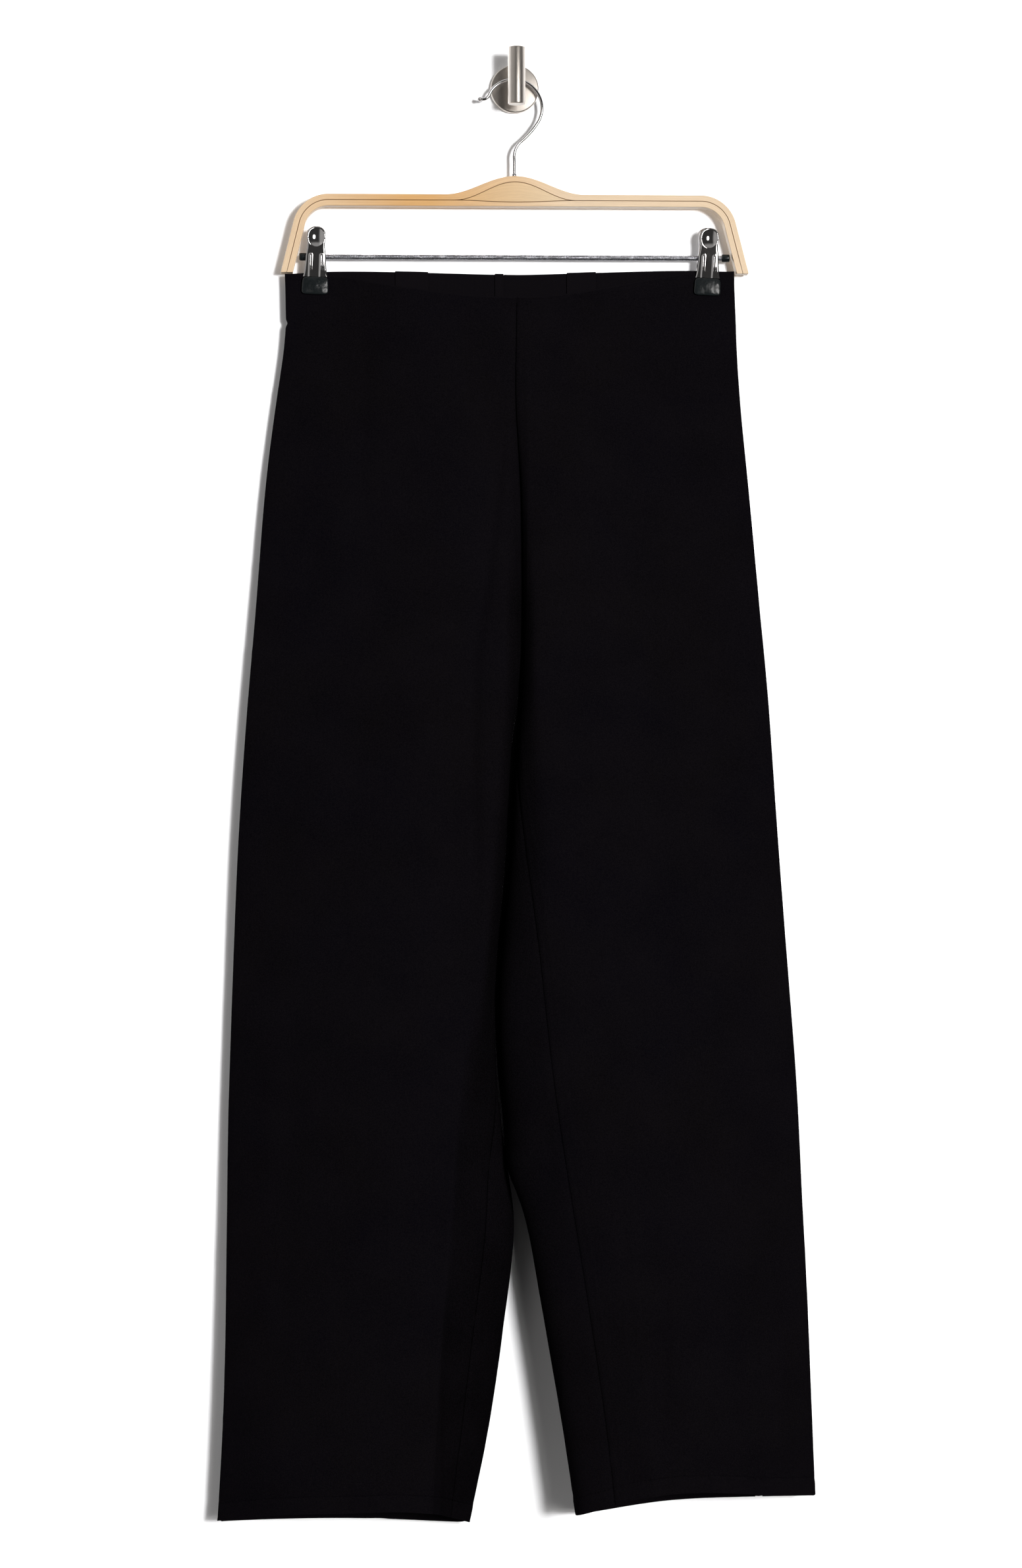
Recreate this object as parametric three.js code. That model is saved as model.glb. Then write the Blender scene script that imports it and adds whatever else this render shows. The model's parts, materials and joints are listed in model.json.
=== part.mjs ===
import * as THREE from 'three';
import { RoundedBoxGeometry } from 'three/addons/geometries/RoundedBoxGeometry.js';

// Wide-leg pants in black knit, clipped to a bent-wood hanger that hangs on a wall hook.
// Millimetres, +Z up, +X to the right seen from the front. The wall is the plane y = 0 and the
// pants hang in front of it, at negative y. "Out" is a distance out from the wall, so y = -out.

// Cloth and seams
const CLOTH = 1.5;
const FACING_CLOTH = 1.0;
const STRIP_CLOTH = 1.0;
const SEAM_GAP = 0.3;
const WAIST_HEIGHT = -156;
const CROTCH_HEIGHT = -505;
const HEM_HEIGHT = -1185;
const WAIST_BLEND = -300;
const HEM_BLEND = -1040;
const FACING_DEPTH = 46;
const FACING_BOTTOM = WAIST_HEIGHT - FACING_DEPTH;
const PINCH_BOTTOM = -182;
const PINCH_END = -232;

// Levels this close above the crotch count as part of the legs, and the seam station is led over from the
// crotch to the middle of the leg's inner edge within the blend below it.
const CROTCH_BAND = 0.5;
const CROTCH_BLEND = 45;

// Hanger, clips and wall hook
const HANGER_PLACE = { x: -0.8, out: 11, z: 1.4 };
const HANGER_TILT = -0.3;
const WOOD_DEPTH = 12;
const LAYER = 4.75;
const WOOD_TOP = -91;
const WOOD_TIP = -156;
const ARM_LEAN = 14.3;
const SHOULDER_X = 154.4;
const SHOULDER_RADIUS = 30;
const HUMP_RISE = 15.3;
const HUMP_HALF = 58;
const LENS_HALF = 50;
const LENS_TIP = 44;
const LENS_BELLY = 1.5;
const WIRE_RADIUS = 1.5;
const TIP_BALL = { radius: 2.3, clear: 0.5 };
const COLLAR = { radius: 3, height: 2.4 };
const BAR_HEIGHT = -142.4;
const BAR_RADIUS = 2;
const BAR_HALF = 178.8;
const CAP_LENGTH = 6.6;
const CAP_RADIUS = 3.2;
const STEEL = 1.0;
const PAD = { width: 22.2, height: 14.3, depth: 2.8, top: -17.2, clear: 2.65, corner: 0.9 };
const SPRING_RADIUS = 5.2;
const SPRING_WIDTH = 10;
const ROSETTE = { radius: 20, thickness: 5.5, chamfer: 1.2 };
const STEM_RADIUS = 4.4;
const POST = { radius: 7.1, bottom: -17.4, top: 29.7, out: 30, chamfer: 0.8 };

// How many sides the round pieces have.
const SIDES = { wire: 8, ball: 10, rod: 12, collar: 14, stem: 14, post: 24, rosette: 28 };
const WIRE_STEPS = 46;

// The hook's wire, in x and z: a flick at the tip, a bend between two angles round a centre, and the neck.
const HOOK_FLICK = [[-26.8, -11.3], [-24.4, -11.1], [-21.8, -9]];
const HOOK_BEND = { x: -0.5, z: -18.3, radius: 23.4, from: 143, to: -38 };
const HOOK_NECK = [[8.8, -43.2], [3.2, -48.4], [-0.1, -55.5], [-0.4, -64]];
const NECK_FOOT = [-0.5, WOOD_TOP + HUMP_RISE + SEAM_GAP];

// Each clip's place along the bar and how far it leans.
const CLIPS = [
  { side: 'left', x: -165.1, lean: 1.8 },
  { side: 'right', x: 160.7, lean: 2.5 },
];

// Stations round one leg, in order: side seam, outer front, middle front, ridge, inner edge, seam line
// between the legs, inner back, middle back, outer back, side seam again.
const STATION = { side: 0, ridge: 3, inner: 4, seam: 5, innerBack: 6, end: 9 };
const OUTER_SHARE = 0.3;
const MIDDLE_SHARE = 0.65;
const MIDDLE_BACK_SHARE = 0.4;
const OUTER_BACK_SHARE = 0.76;
const OUTER_BACK_LIFT = 0.18;
const PINCHED_BACK_DROP = 3;

// How far the stations' corners are rounded, as shares of the stretches beside them.
const SOFT = { pinched: 0.3, wide: 0.5, inner: 0.3, innerBack: 0.35, crotch: 0.05 };
const CROTCH_SOFTENING = 60;

// A table's rows become objects whose keys are the columns' names.
function table(columns, rows) {
  return rows.map((row) => Object.fromEntries(columns.map((name, i) => [name, row[i]])));
}

// Sections of each leg, a row for each height. The names with Out are distances from the wall.
const SECTION_COLUMNS = ['height', 'side', 'sideOut', 'outerOut', 'middleOut', 'ridge', 'ridgeOut',
  'inner', 'innerOut', 'innerBack', 'backOut'];

const LEFT_SECTIONS = table(SECTION_COLUMNS, [
  [-150, -191, 11, 13.3, 23.5, -45, 33, -14, 35, -28, 5],
  [-178, -190, 11, 13.3, 24.5, -45, 34, -14, 36, -28, 5],
  [-215, -190, 11, 18, 29, -44, 37, -12, 38, -26, 5],
  [-262, -197, 11.5, 24, 35, -40, 41, -10, 41, -24, 5],
  [-333, -206, 13, 30, 42, -32, 48, -8, 46, -22, 5],
  [-420, -213, 15.5, 35, 48, -20, 57, -6, 52, -18, 6],
  [-505, -220, 17.5, 39, 54, -14, 65, -4, 54, -13, 7],
  [-545, -223, 18.5, 41, 57, -17, 68, -4, 51, -12, 7.5],
  [-640, -229, 19, 44, 61, -22, 72, -10, 50, -17, 8],
  [-747, -233, 18, 47, 65, -30, 76, -18, 45, -26, 8],
  [-810, -235, 18, 50, 68, -47, 80, -16, 41, -24, 8],
  [-882, -237, 19.5, 52, 70, -56, 83, -8, 38, -16, 8],
  [-934, -238, 21.5, 54, 72, -59, 85, 2, 34, -8, 8],
  [-1028, -239, 25.5, 58, 76, -69, 89, -9, 28, -16, 8],
  [-1100, -241, 27, 62, 79, -76, 91, -19, 24, -25, 8],
  [-1190, -246, 26, 66, 82, -80, 93, -37, 20, -44, 8],
]);

const RIGHT_SECTIONS = table(SECTION_COLUMNS, [
  [-150, 181.6, 11, 13.3, 23, 45, 33, 12, 35, 10, 5],
  [-178, 182.1, 11, 13.3, 24, 45, 34, 12, 36, 10, 5],
  [-215, 183.1, 11, 18, 29, 44, 37, 10, 38, 9, 5],
  [-262, 186, 12.5, 24, 35, 40, 41, 9, 41, 9, 5],
  [-333, 192.8, 16, 31, 42, 32, 48, 8, 46, 9, 5],
  [-420, 200.6, 20.5, 37, 48, 22, 57, 9, 52, 9, 6],
  [-505, 207.9, 24.5, 43, 56, 17, 65, 7, 54, 4, 7],
  [-545, 210.2, 26, 45, 59, 19, 68, 1, 50, -5.5, 7.5],
  [-640, 216, 28.5, 50, 65, 29, 75, -4, 53, -10.5, 8],
  [-747, 224, 31, 55, 71, 46, 81, -14, 57, -20, 8],
  [-810, 229, 32, 58, 74, 56, 84, -12, 59, -18, 8],
  [-882, 233, 33, 62, 78, 68, 88, -4, 62, -8, 8],
  [-934, 236, 33, 65, 82, 77, 91, 5, 65, 10.5, 8],
  [-1028, 240.5, 34, 70, 88, 91, 95, 21, 70, 27, 8],
  [-1100, 243, 34.5, 74, 93, 99, 97, 34, 75, 38, 8],
  [-1190, 246.5, 35, 78, 98, 106, 98, 48, 80, 51, 8],
]);

// The centre front and centre back seams, from the waist down to where they meet at the crotch.
const CENTRE_SEAMS = table(['height', 'frontX', 'frontOut', 'backX', 'backOut'], [
  [-150, -0.2, 35, -9.2, 5],
  [-178, -0.2, 35.5, -9, 5],
  [-215, -0.7, 36.8, -8, 6.3],
  [-262, -1.4, 37.8, -6.5, 7],
  [-333, 2.9, 38.5, -3.5, 8.5],
  [-420, 4.1, 38.5, 0.3, 12.5],
  [-465, 4.1, 38, 1.2, 17],
  [-490, 3.3, 37, 1.6, 26],
  [CROTCH_HEIGHT, 1.7, 36, 1.7, 36],
]);

// Where each inseam runs round its leg, counted in stations, from the crotch down.
const INSEAMS = table(['height', 'left', 'right'], [
  [CROTCH_HEIGHT, 5, 5],
  [-560, 4.82, 4.4],
  [-592, 4.74, 3.97],
  [-654, 4.55, 3.63],
  [-722, 4.36, 3.46],
  [-845, 4.0, 3.44],
  [-880, 3.68, 3.44],
  [-925, 3.55, 3.45],
  [-1190, 3.54, 3.46],
]);

// Heights of the waist edge and of the hem at the stations. The front waist runs from the side seam to the
// centre front, the back waist from the centre back to the side seam, and the hem all round the leg.
const LEFT_EDGES = {
  frontWaist: [-156.4, -158, -167.2, -174.7, -176.7, -176.7],
  backWaist: [-154.7, -154.5, -153.4, -153.7, -156.4],
  hem: [-1182, -1171, -1167, -1165.5, -1186, -1187, -1188, -1184.5, -1183.5, -1182.5],
};
const RIGHT_EDGES = {
  frontWaist: [-151.2, -153.7, -163.2, -173, -176.4, -176.7],
  backWaist: [-154.7, -154.5, -152.1, -150.5, -151.2],
  hem: [-1164.5, -1157.5, -1151, -1153.5, -1171, -1176, -1182, -1172.5, -1169.5, -1165.5],
};

// Large soft folds. Relief is outwards when positive and inwards when negative.
const FOLD_COLUMNS = ['leg', 'face', 'top', 'bottom', 'xTop', 'xMiddle', 'xBottom', 'halfWidth', 'relief'];
const FOLDS = table(FOLD_COLUMNS, [
  ['left', 'front', -235, -840, -9, -40, -46, 20, -7],
  ['left', 'front', -200, -420, -128, -129, -131, 20, -2],
  ['left', 'front', -320, -460, -154, -165, -178, 16, -2],
  ['left', 'front', -640, -1100, -150, -158, -166, 30, -2.5],
  ['right', 'front', -320, -660, 160, 167, 176, 26, -4.5],
  ['right', 'front', -340, -640, 135, 125, 124, 22, 2.5],
  ['right', 'front', -940, -1185, 118, 115, 112, 12, -4],
  ['right', 'front', -940, -1185, 168, 184, 200, 30, -5],
  ['left', 'back', -330, -900, -62, -70, -76, 34, -3],
  ['left', 'back', -700, -1180, -150, -158, -160, 36, -3],
  ['right', 'back', -300, -860, 58, 66, 78, 34, -3],
  ['right', 'back', -760, -1180, 160, 168, 170, 36, -3],
]);

// The ridge on each leg is a soft roll above its crease height and a firmer crease below it.
const SOFT_RIDGE = 0.45;
const FIRM_RIDGE = 0.12;
const CREASE_LENGTH = 140;
const LEFT_CREASE = -740;
const RIGHT_CREASE = -900;

const LEFT = { name: 'left', turn: 1, sections: LEFT_SECTIONS, edges: LEFT_EDGES, crease: LEFT_CREASE };
const RIGHT = { name: 'right', turn: -1, sections: RIGHT_SECTIONS, edges: RIGHT_EDGES, crease: RIGHT_CREASE };

const mix = THREE.MathUtils.lerp;
const clamp = THREE.MathUtils.clamp;

// 0 at one end of a stretch and 1 at the other, with level ends.
function ease(value, from, to) {
  const share = clamp((value - from) / (to - from), 0, 1);
  return share * share * (3 - 2 * share);
}

function evenly(from, to, count) {
  return Array.from({ length: count + 1 }, (_, i) => mix(from, to, i / count));
}

// A smooth curve through one column of a table, whose places are given by a function of the row.
function along(rows, placeOf, valueOf, place) {
  const rising = placeOf(rows[1], 1) > placeOf(rows[0], 0) ? 1 : -1;
  const at = rows.map((row, i) => placeOf(row, i) * rising);
  const value = rows.map(valueOf);
  const target = clamp(place * rising, at[0], at[at.length - 1]);
  let i = 0;
  while (i < rows.length - 2 && target > at[i + 1]) i += 1;
  const slope = (a, b) => (value[b] - value[a]) / (at[b] - at[a]);
  const length = at[i + 1] - at[i];
  const first = slope(Math.max(i - 1, 0), i + 1) * length;
  const last = slope(i, Math.min(i + 2, rows.length - 1)) * length;
  const t = (target - at[i]) / length;
  const chord = value[i + 1] - value[i];
  return value[i] + t * (first + t * (3 * chord - 2 * first - last + t * (first + last - 2 * chord)));
}

function atHeight(rows, column, height) {
  return along(rows, (row) => row.height, (row) => row[column], height);
}

function edgeHeight(leg, edge, place) {
  const first = edge === 'backWaist' ? STATION.seam : 0;
  return along(leg.edges[edge], (_, i) => i + first, (height) => height, place);
}

// Half of the side seam's thickness: the facing lies between front and back at the waist.
function sideHalf(height) {
  const withFacing = CLOTH + SEAM_GAP + FACING_CLOTH / 2;
  const alone = CLOTH + SEAM_GAP / 2;
  return mix(withFacing, alone, ease(height, FACING_BOTTOM, FACING_BOTTOM - 20));
}

// The stations of one leg at a height. Above the crotch the seam station is on the centre front or back seam.
function stations(leg, face, height) {
  const at = (column) => atHeight(leg.sections, column, height);
  const side = at('side');
  const ridge = at('ridge');
  const innerBack = at('innerBack');
  const backOut = at('backOut');
  const sideBack = at('sideOut') - sideHalf(height);
  const pinch = 1 - ease(height, PINCH_BOTTOM, PINCH_END);
  const outerBackOut = mix(mix(backOut, sideBack, OUTER_BACK_LIFT), sideBack, pinch);
  const inner = { x: at('inner'), out: at('innerOut') };
  const innerBackStation = { x: innerBack, out: backOut + PINCHED_BACK_DROP * (1 - pinch) };
  return [
    { x: side, out: at('sideOut') + sideHalf(height) },
    { x: mix(side, ridge, OUTER_SHARE), out: at('outerOut') },
    { x: mix(side, ridge, MIDDLE_SHARE), out: at('middleOut') },
    { x: ridge, out: at('ridgeOut') },
    inner,
    seamStation(leg, face, height, inner, innerBackStation),
    innerBackStation,
    { x: mix(innerBack, side, MIDDLE_BACK_SHARE), out: backOut },
    { x: mix(innerBack, side, OUTER_BACK_SHARE), out: outerBackOut },
    { x: side, out: sideBack },
  ];
}

function seamStation(leg, face, height, inner, innerBack) {
  if (height < CROTCH_HEIGHT) {
    const crotch = centreSeam(leg, face, CROTCH_HEIGHT);
    const straight = { x: mix(inner.x, innerBack.x, 0.5), out: mix(inner.out, innerBack.out, 0.5) };
    const below = ease(height, CROTCH_HEIGHT, CROTCH_HEIGHT - CROTCH_BLEND);
    return { x: mix(crotch.x, straight.x, below), out: mix(crotch.out, straight.out, below) };
  }
  return centreSeam(leg, face, height);
}

function centreSeam(leg, face, height) {
  return {
    x: atHeight(CENTRE_SEAMS, `${face}X`, height) - leg.turn * SEAM_GAP / 2,
    out: atHeight(CENTRE_SEAMS, `${face}Out`, height),
  };
}

// How far each station's corner is rounded, as a share of the stretches beside it.
function softness(leg, height) {
  const ridge = mix(SOFT_RIDGE, FIRM_RIDGE, ease(height, leg.crease, leg.crease - CREASE_LENGTH));
  const outer = mix(SOFT.pinched, SOFT.wide, ease(height, PINCH_BOTTOM, PINCH_END));
  const below = ease(height, CROTCH_HEIGHT, CROTCH_HEIGHT - CROTCH_SOFTENING);
  const seam = height >= CROTCH_HEIGHT ? 0 : mix(SOFT.crotch, SOFT.wide, below);
  return [0, outer, SOFT.wide, ridge, SOFT.inner, seam, SOFT.innerBack, SOFT.wide, outer, 0];
}

function between(a, b, share) {
  return { x: mix(a.x, b.x, share), out: mix(a.out, b.out, share) };
}

function roundedCorner(points, soft, i, share) {
  const start = between(points[i], points[i - 1], soft[i]);
  const end = between(points[i], points[i + 1], soft[i]);
  return between(between(start, points[i], share), between(points[i], end, share), share);
}

// A point on the ring of stations. Place 2.5 is halfway from station 2 to station 3.
function ringPoint(points, soft, place) {
  const i = Math.min(Math.floor(place), points.length - 2);
  const share = place - i;
  const left = 1 - share;
  if (share < soft[i]) return roundedCorner(points, soft, i, 0.5 + 0.5 * share / soft[i]);
  if (left < soft[i + 1]) return roundedCorner(points, soft, i + 1, 0.5 - 0.5 * left / soft[i + 1]);
  return between(points[i], points[i + 1], share);
}

function foldRelief(leg, face, x, height) {
  return FOLDS.filter((fold) => fold.leg === leg.name && fold.face === face).reduce((sum, fold) => {
    const share = (height - fold.top) / (fold.bottom - fold.top);
    if (share <= 0 || share >= 1) return sum;
    const ends = fold.xTop * (1 - share) * (1 - 2 * share) - fold.xBottom * share * (1 - 2 * share);
    const centre = ends + 4 * fold.xMiddle * share * (1 - share);
    const across = (x - centre) / fold.halfWidth;
    if (Math.abs(across) >= 1) return sum;
    return sum + fold.relief * Math.sin(Math.PI * share) * Math.cos(Math.PI * across / 2) ** 2;
  }, 0);
}

// The height of a point of the cloth, moved so that the top and bottom rows follow the waist and the hem.
function clothHeight(leg, face, place, level) {
  if (level > WAIST_BLEND) {
    const share = (level - WAIST_BLEND) / (WAIST_HEIGHT - WAIST_BLEND);
    return mix(WAIST_BLEND, edgeHeight(leg, `${face}Waist`, place), share);
  }
  if (level < HEM_BLEND) {
    const share = (level - HEM_BLEND) / (HEM_HEIGHT - HEM_BLEND);
    return mix(HEM_BLEND, edgeHeight(leg, 'hem', place), share);
  }
  return level;
}

// A point of the cloth's outer surface on one leg. Level is the height before the edges are followed.
function clothPoint(leg, face, place, level) {
  const height = clothHeight(leg, face, place, level);
  const point = ringPoint(stations(leg, face, height), softness(leg, height), place);
  const onFront = place <= STATION.inner ? 'front' : 'back';
  const facesOut = onFront === 'front' ? 1 : -1;
  const relief = foldRelief(leg, onFront, point.x, height);
  return new THREE.Vector3(point.x, -(point.out + facesOut * relief), height);
}

// The stations between which a face of the cloth runs. Below the crotch each leg is one tube.
function span(face, level) {
  if (level <= CROTCH_HEIGHT + CROTCH_BAND) return [STATION.side, STATION.end];
  return face === 'front' ? [STATION.side, STATION.seam] : [STATION.seam, STATION.end];
}

// The unit vector into the garment at a point of the cloth, from its neighbours round the leg and up it.
const ROUND_STEP = 0.06;
const UP_STEP = 2;

function inward(leg, face, place, level) {
  const [first, last] = span(face, level);
  const round = clothPoint(leg, face, Math.min(place + ROUND_STEP, last), level)
    .sub(clothPoint(leg, face, Math.max(place - ROUND_STEP, first), level));
  const up = clothPoint(leg, face, place, level + UP_STEP)
    .sub(clothPoint(leg, face, place, level - UP_STEP));
  return round.cross(up).multiplyScalar(-leg.turn).normalize();
}

function clothAt(leg, face, place, level, depth) {
  return clothPoint(leg, face, place, level).addScaledVector(inward(leg, face, place, level), depth);
}

// Half of the seam gap, counted in stations at a place on the ring.
function seamStep(leg, face, place, level) {
  const step = 0.02;
  const stretch = clothPoint(leg, face, place - step, level)
    .distanceTo(clothPoint(leg, face, place + step, level)) / (2 * step);
  return SEAM_GAP / 2 / stretch;
}

// Where a panel ends: the centre seam above the crotch and the inseam below it.
function panelEnd(leg, face, level) {
  if (level > CROTCH_HEIGHT + CROTCH_BAND) return STATION.seam;
  const inseam = atHeight(INSEAMS, leg.name, level);
  const step = seamStep(leg, face, inseam, level);
  return face === 'front' ? inseam - step : inseam + step;
}

// A closed solid between two grids of points with the same rows and columns.
function slab(outer, inner) {
  const rows = outer.length;
  const columns = outer[0].length;
  const positions = [...outer.flat(), ...inner.flat()].flatMap((point) => point.toArray());
  const outerIndex = (i, j) => i * columns + j;
  const innerIndex = (i, j) => rows * columns + i * columns + j;
  const faces = [];
  const quad = (a, b, c, d) => faces.push(a, b, c, a, c, d);
  for (let i = 0; i < rows - 1; i += 1) {
    for (let j = 0; j < columns - 1; j += 1) {
      quad(outerIndex(i, j), outerIndex(i + 1, j), outerIndex(i + 1, j + 1), outerIndex(i, j + 1));
      quad(innerIndex(i, j), innerIndex(i, j + 1), innerIndex(i + 1, j + 1), innerIndex(i + 1, j));
    }
  }
  for (let i = 0; i < rows - 1; i += 1) {
    const last = columns - 1;
    quad(outerIndex(i, 0), innerIndex(i, 0), innerIndex(i + 1, 0), outerIndex(i + 1, 0));
    quad(outerIndex(i, last), outerIndex(i + 1, last), innerIndex(i + 1, last), innerIndex(i, last));
  }
  for (let j = 0; j < columns - 1; j += 1) {
    const last = rows - 1;
    quad(outerIndex(0, j), outerIndex(0, j + 1), innerIndex(0, j + 1), innerIndex(0, j));
    quad(outerIndex(last, j), innerIndex(last, j), innerIndex(last, j + 1), outerIndex(last, j + 1));
  }
  return outward(positions, faces);
}

// Turns the faces round if they would enclose a negative volume.
function outward(positions, faces) {
  const corner = (k) => new THREE.Vector3().fromArray(positions, 3 * faces[k]);
  let volume = 0;
  for (let k = 0; k < faces.length; k += 3) volume += corner(k).dot(corner(k + 1).cross(corner(k + 2)));
  if (volume < 0) faces.reverse();
  const geometry = new THREE.BufferGeometry();
  geometry.setAttribute('position', new THREE.Float32BufferAttribute(positions, 3));
  geometry.setIndex(faces);
  geometry.computeVertexNormals();
  return geometry;
}

// Rows of every panel: close together where the clips pinch the waist, then even down to crotch and hem.
const CLIPPED_ROWS = [0, 6, 12, 18, 25, 34, 46, 62].map((drop) => WAIST_HEIGHT - drop);
const BODY_ROWS = evenly(CLIPPED_ROWS[CLIPPED_ROWS.length - 1], CROTCH_HEIGHT, 8).slice(1);
const LEG_ROWS = evenly(CROTCH_HEIGHT, HEM_HEIGHT, 16).slice(1);
const PANEL_ROWS = [...CLIPPED_ROWS, ...BODY_ROWS, ...LEG_ROWS];

function frontPlaces(leg, level) {
  const end = panelEnd(leg, 'front', level);
  return [...evenly(STATION.side, STATION.ridge, 8), ...evenly(STATION.ridge, end, 5).slice(1)];
}

function backPlaces(leg, level) {
  const start = panelEnd(leg, 'back', level);
  return [...evenly(start, STATION.innerBack, 6), ...evenly(STATION.innerBack, STATION.end, 7).slice(1)];
}

function panel(leg, face, placesAt) {
  const grid = (depth) => PANEL_ROWS.map((level) => placesAt(leg, level)
    .map((place) => clothAt(leg, face, place, level, depth)));
  return slab(grid(0), grid(CLOTH));
}

// Places across the inside of the back waist, from the left side seam to the right one.
function acrossBack(from, to, count) {
  return evenly(from, to, count).map((share) => (share < 0
    ? { leg: LEFT, place: mix(STATION.seam, STATION.end, -share) }
    : { leg: RIGHT, place: mix(STATION.seam, STATION.end, share) }));
}

// A piece that lies inside the back of the waist, made from the panels' points moved in.
function insideBack(places, levels, depth, thickness) {
  const grid = (inside) => levels.map((level) => places.map(
    ({ leg, place }) => clothAt(leg, 'back', place, level, inside)));
  return slab(grid(depth), grid(depth + thickness));
}

const FACING_EDGE = 0.965;
const FACING_LEVELS = evenly(WAIST_HEIGHT - 0.5, FACING_BOTTOM, 4);

function backWaistFacing() {
  const places = acrossBack(-FACING_EDGE, FACING_EDGE, 20);
  return insideBack(places, FACING_LEVELS, CLOTH + SEAM_GAP, FACING_CLOTH);
}

// Strips on the facing, as shares of the way from the centre back seam to a side seam, left negative.
const STRIPS = [
  { name: 'dart_left', from: -0.53, to: -0.42 },
  { name: 'centre_back_allowance', from: -0.1, to: -0.004 },
  { name: 'dart_right', from: 0.37, to: 0.46 },
];

// The strips' tops stand a little above the back edge.
const STRIP_LEVELS = evenly(WAIST_HEIGHT + 0.4, FACING_BOTTOM, 4);

function waistStrip({ from, to }) {
  const depth = CLOTH + SEAM_GAP + FACING_CLOTH + SEAM_GAP;
  return insideBack(acrossBack(from, to, 3), STRIP_LEVELS, depth, STRIP_CLOTH);
}

// A flat shape drawn in x and z, given its depth along y and centred on the hanger's plane.
function plank(points, depth) {
  const shape = new THREE.Shape(points.map(([x, z]) => new THREE.Vector2(x, z)));
  const geometry = new THREE.ExtrudeGeometry(shape, { depth, bevelEnabled: false });
  geometry.rotateX(Math.PI / 2);
  geometry.translate(0, depth / 2, 0);
  return geometry;
}

function bell(share) {
  return Math.abs(share) < 1 ? 0.5 * (1 + Math.cos(Math.PI * share)) : 0;
}

// The hanger's edge at a distance inside its outer edge, from the left tip over the hump to the right tip.
function hangerEdge(inset, rise, halfWidth) {
  const lean = THREE.MathUtils.degToRad(ARM_LEAN);
  const radius = SHOULDER_RADIUS - inset;
  const centreZ = WOOD_TOP - SHOULDER_RADIUS;
  const shoulder = evenly(Math.PI - lean, Math.PI / 2, 8)
    .map((angle) => [-SHOULDER_X + radius * Math.cos(angle), centreZ + radius * Math.sin(angle)]);
  const armFall = shoulder[0][1] - WOOD_TIP;
  const tip = [shoulder[0][0] - armFall * Math.tan(lean), WOOD_TIP];
  const hump = evenly(-halfWidth, 0, 8).map((x) => [x, WOOD_TOP - inset + rise * bell(x / halfWidth)]);
  const half = [tip, ...shoulder, ...hump];
  const other = half.slice(0, -1).reverse().map(([x, z]) => [-x, z]);
  return [...half, ...other];
}

function outerLayer() {
  const top = hangerEdge(0, HUMP_RISE, HUMP_HALF);
  const under = hangerEdge(LAYER, HUMP_RISE, LENS_HALF);
  return plank([...top, ...under.reverse()], WOOD_DEPTH);
}

function innerLayer() {
  const top = hangerEdge(LAYER + SEAM_GAP, -LENS_BELLY, LENS_HALF);
  const under = hangerEdge(2 * LAYER + SEAM_GAP, 0, LENS_HALF);
  return plank([...top, ...under.reverse()], WOOD_DEPTH);
}

function hangerInsert() {
  const x = evenly(-LENS_TIP, LENS_TIP, 12);
  const inset = LAYER + SEAM_GAP;
  const top = x.map((at) => [at, WOOD_TOP - inset + HUMP_RISE * bell(at / LENS_HALF)]);
  const under = x.map((at) => [at, WOOD_TOP - inset + SEAM_GAP - LENS_BELLY * bell(at / LENS_HALF)]);
  return plank([...top, ...under.reverse()], WOOD_DEPTH);
}

// A round wire that follows a curve.
function wire(points, radius) {
  const section = new THREE.Shape(evenly(0, 2 * Math.PI, SIDES.wire).slice(0, -1)
    .map((angle) => new THREE.Vector2(radius * Math.cos(angle), radius * Math.sin(angle))));
  const places = points.map(([x, z]) => new THREE.Vector3(x, 0, z));
  const extrudePath = new THREE.CatmullRomCurve3(places, false, 'centripetal');
  return new THREE.ExtrudeGeometry(section, { steps: WIRE_STEPS, extrudePath, bevelEnabled: false });
}

function hangerHook() {
  const { x, z, radius, from, to } = HOOK_BEND;
  const bend = evenly(from, to, 9).map(THREE.MathUtils.degToRad)
    .map((angle) => [x + radius * Math.cos(angle), z + radius * Math.sin(angle)]);
  return wire([...HOOK_FLICK, ...bend, ...HOOK_NECK, NECK_FOOT], WIRE_RADIUS);
}

// A turned piece. The profile holds pairs of radius and distance along the axis, and the axis is y.
function turned(profile, segments) {
  return new THREE.LatheGeometry(profile.map(([radius, at]) => new THREE.Vector2(radius, at)), segments);
}

function tipBall() {
  const { radius, clear } = TIP_BALL;
  const steps = evenly(-Math.PI / 2, Math.PI / 2, 5);
  const profile = steps.map((angle) => [radius * Math.cos(angle), radius * Math.sin(angle)]);
  profile[0][0] = 0;
  profile[profile.length - 1][0] = 0;
  const geometry = turned(profile, SIDES.ball);
  const [tipX, tipZ] = HOOK_FLICK[0];
  geometry.translate(tipX - radius - clear, 0, tipZ);
  return geometry;
}

function tube(inner, outer, length, segments) {
  const half = length / 2;
  return turned([[inner, -half], [outer, -half], [outer, half], [inner, half], [inner, -half]], segments);
}

function hookCollar() {
  const geometry = tube(WIRE_RADIUS + SEAM_GAP, COLLAR.radius, COLLAR.height, SIDES.collar);
  geometry.rotateX(Math.PI / 2);
  const [footX, footZ] = NECK_FOOT;
  geometry.translate(footX, 0, footZ + COLLAR.height / 2);
  return geometry;
}

function clipBar() {
  const profile = [[0, -BAR_HALF], [BAR_RADIUS, -BAR_HALF], [BAR_RADIUS, BAR_HALF], [0, BAR_HALF]];
  const geometry = turned(profile, SIDES.rod);
  geometry.rotateZ(Math.PI / 2);
  return geometry;
}

function barCap() {
  const geometry = tube(BAR_RADIUS + SEAM_GAP, CAP_RADIUS, CAP_LENGTH, SIDES.rod);
  geometry.rotateZ(Math.PI / 2);
  return geometry;
}

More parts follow.
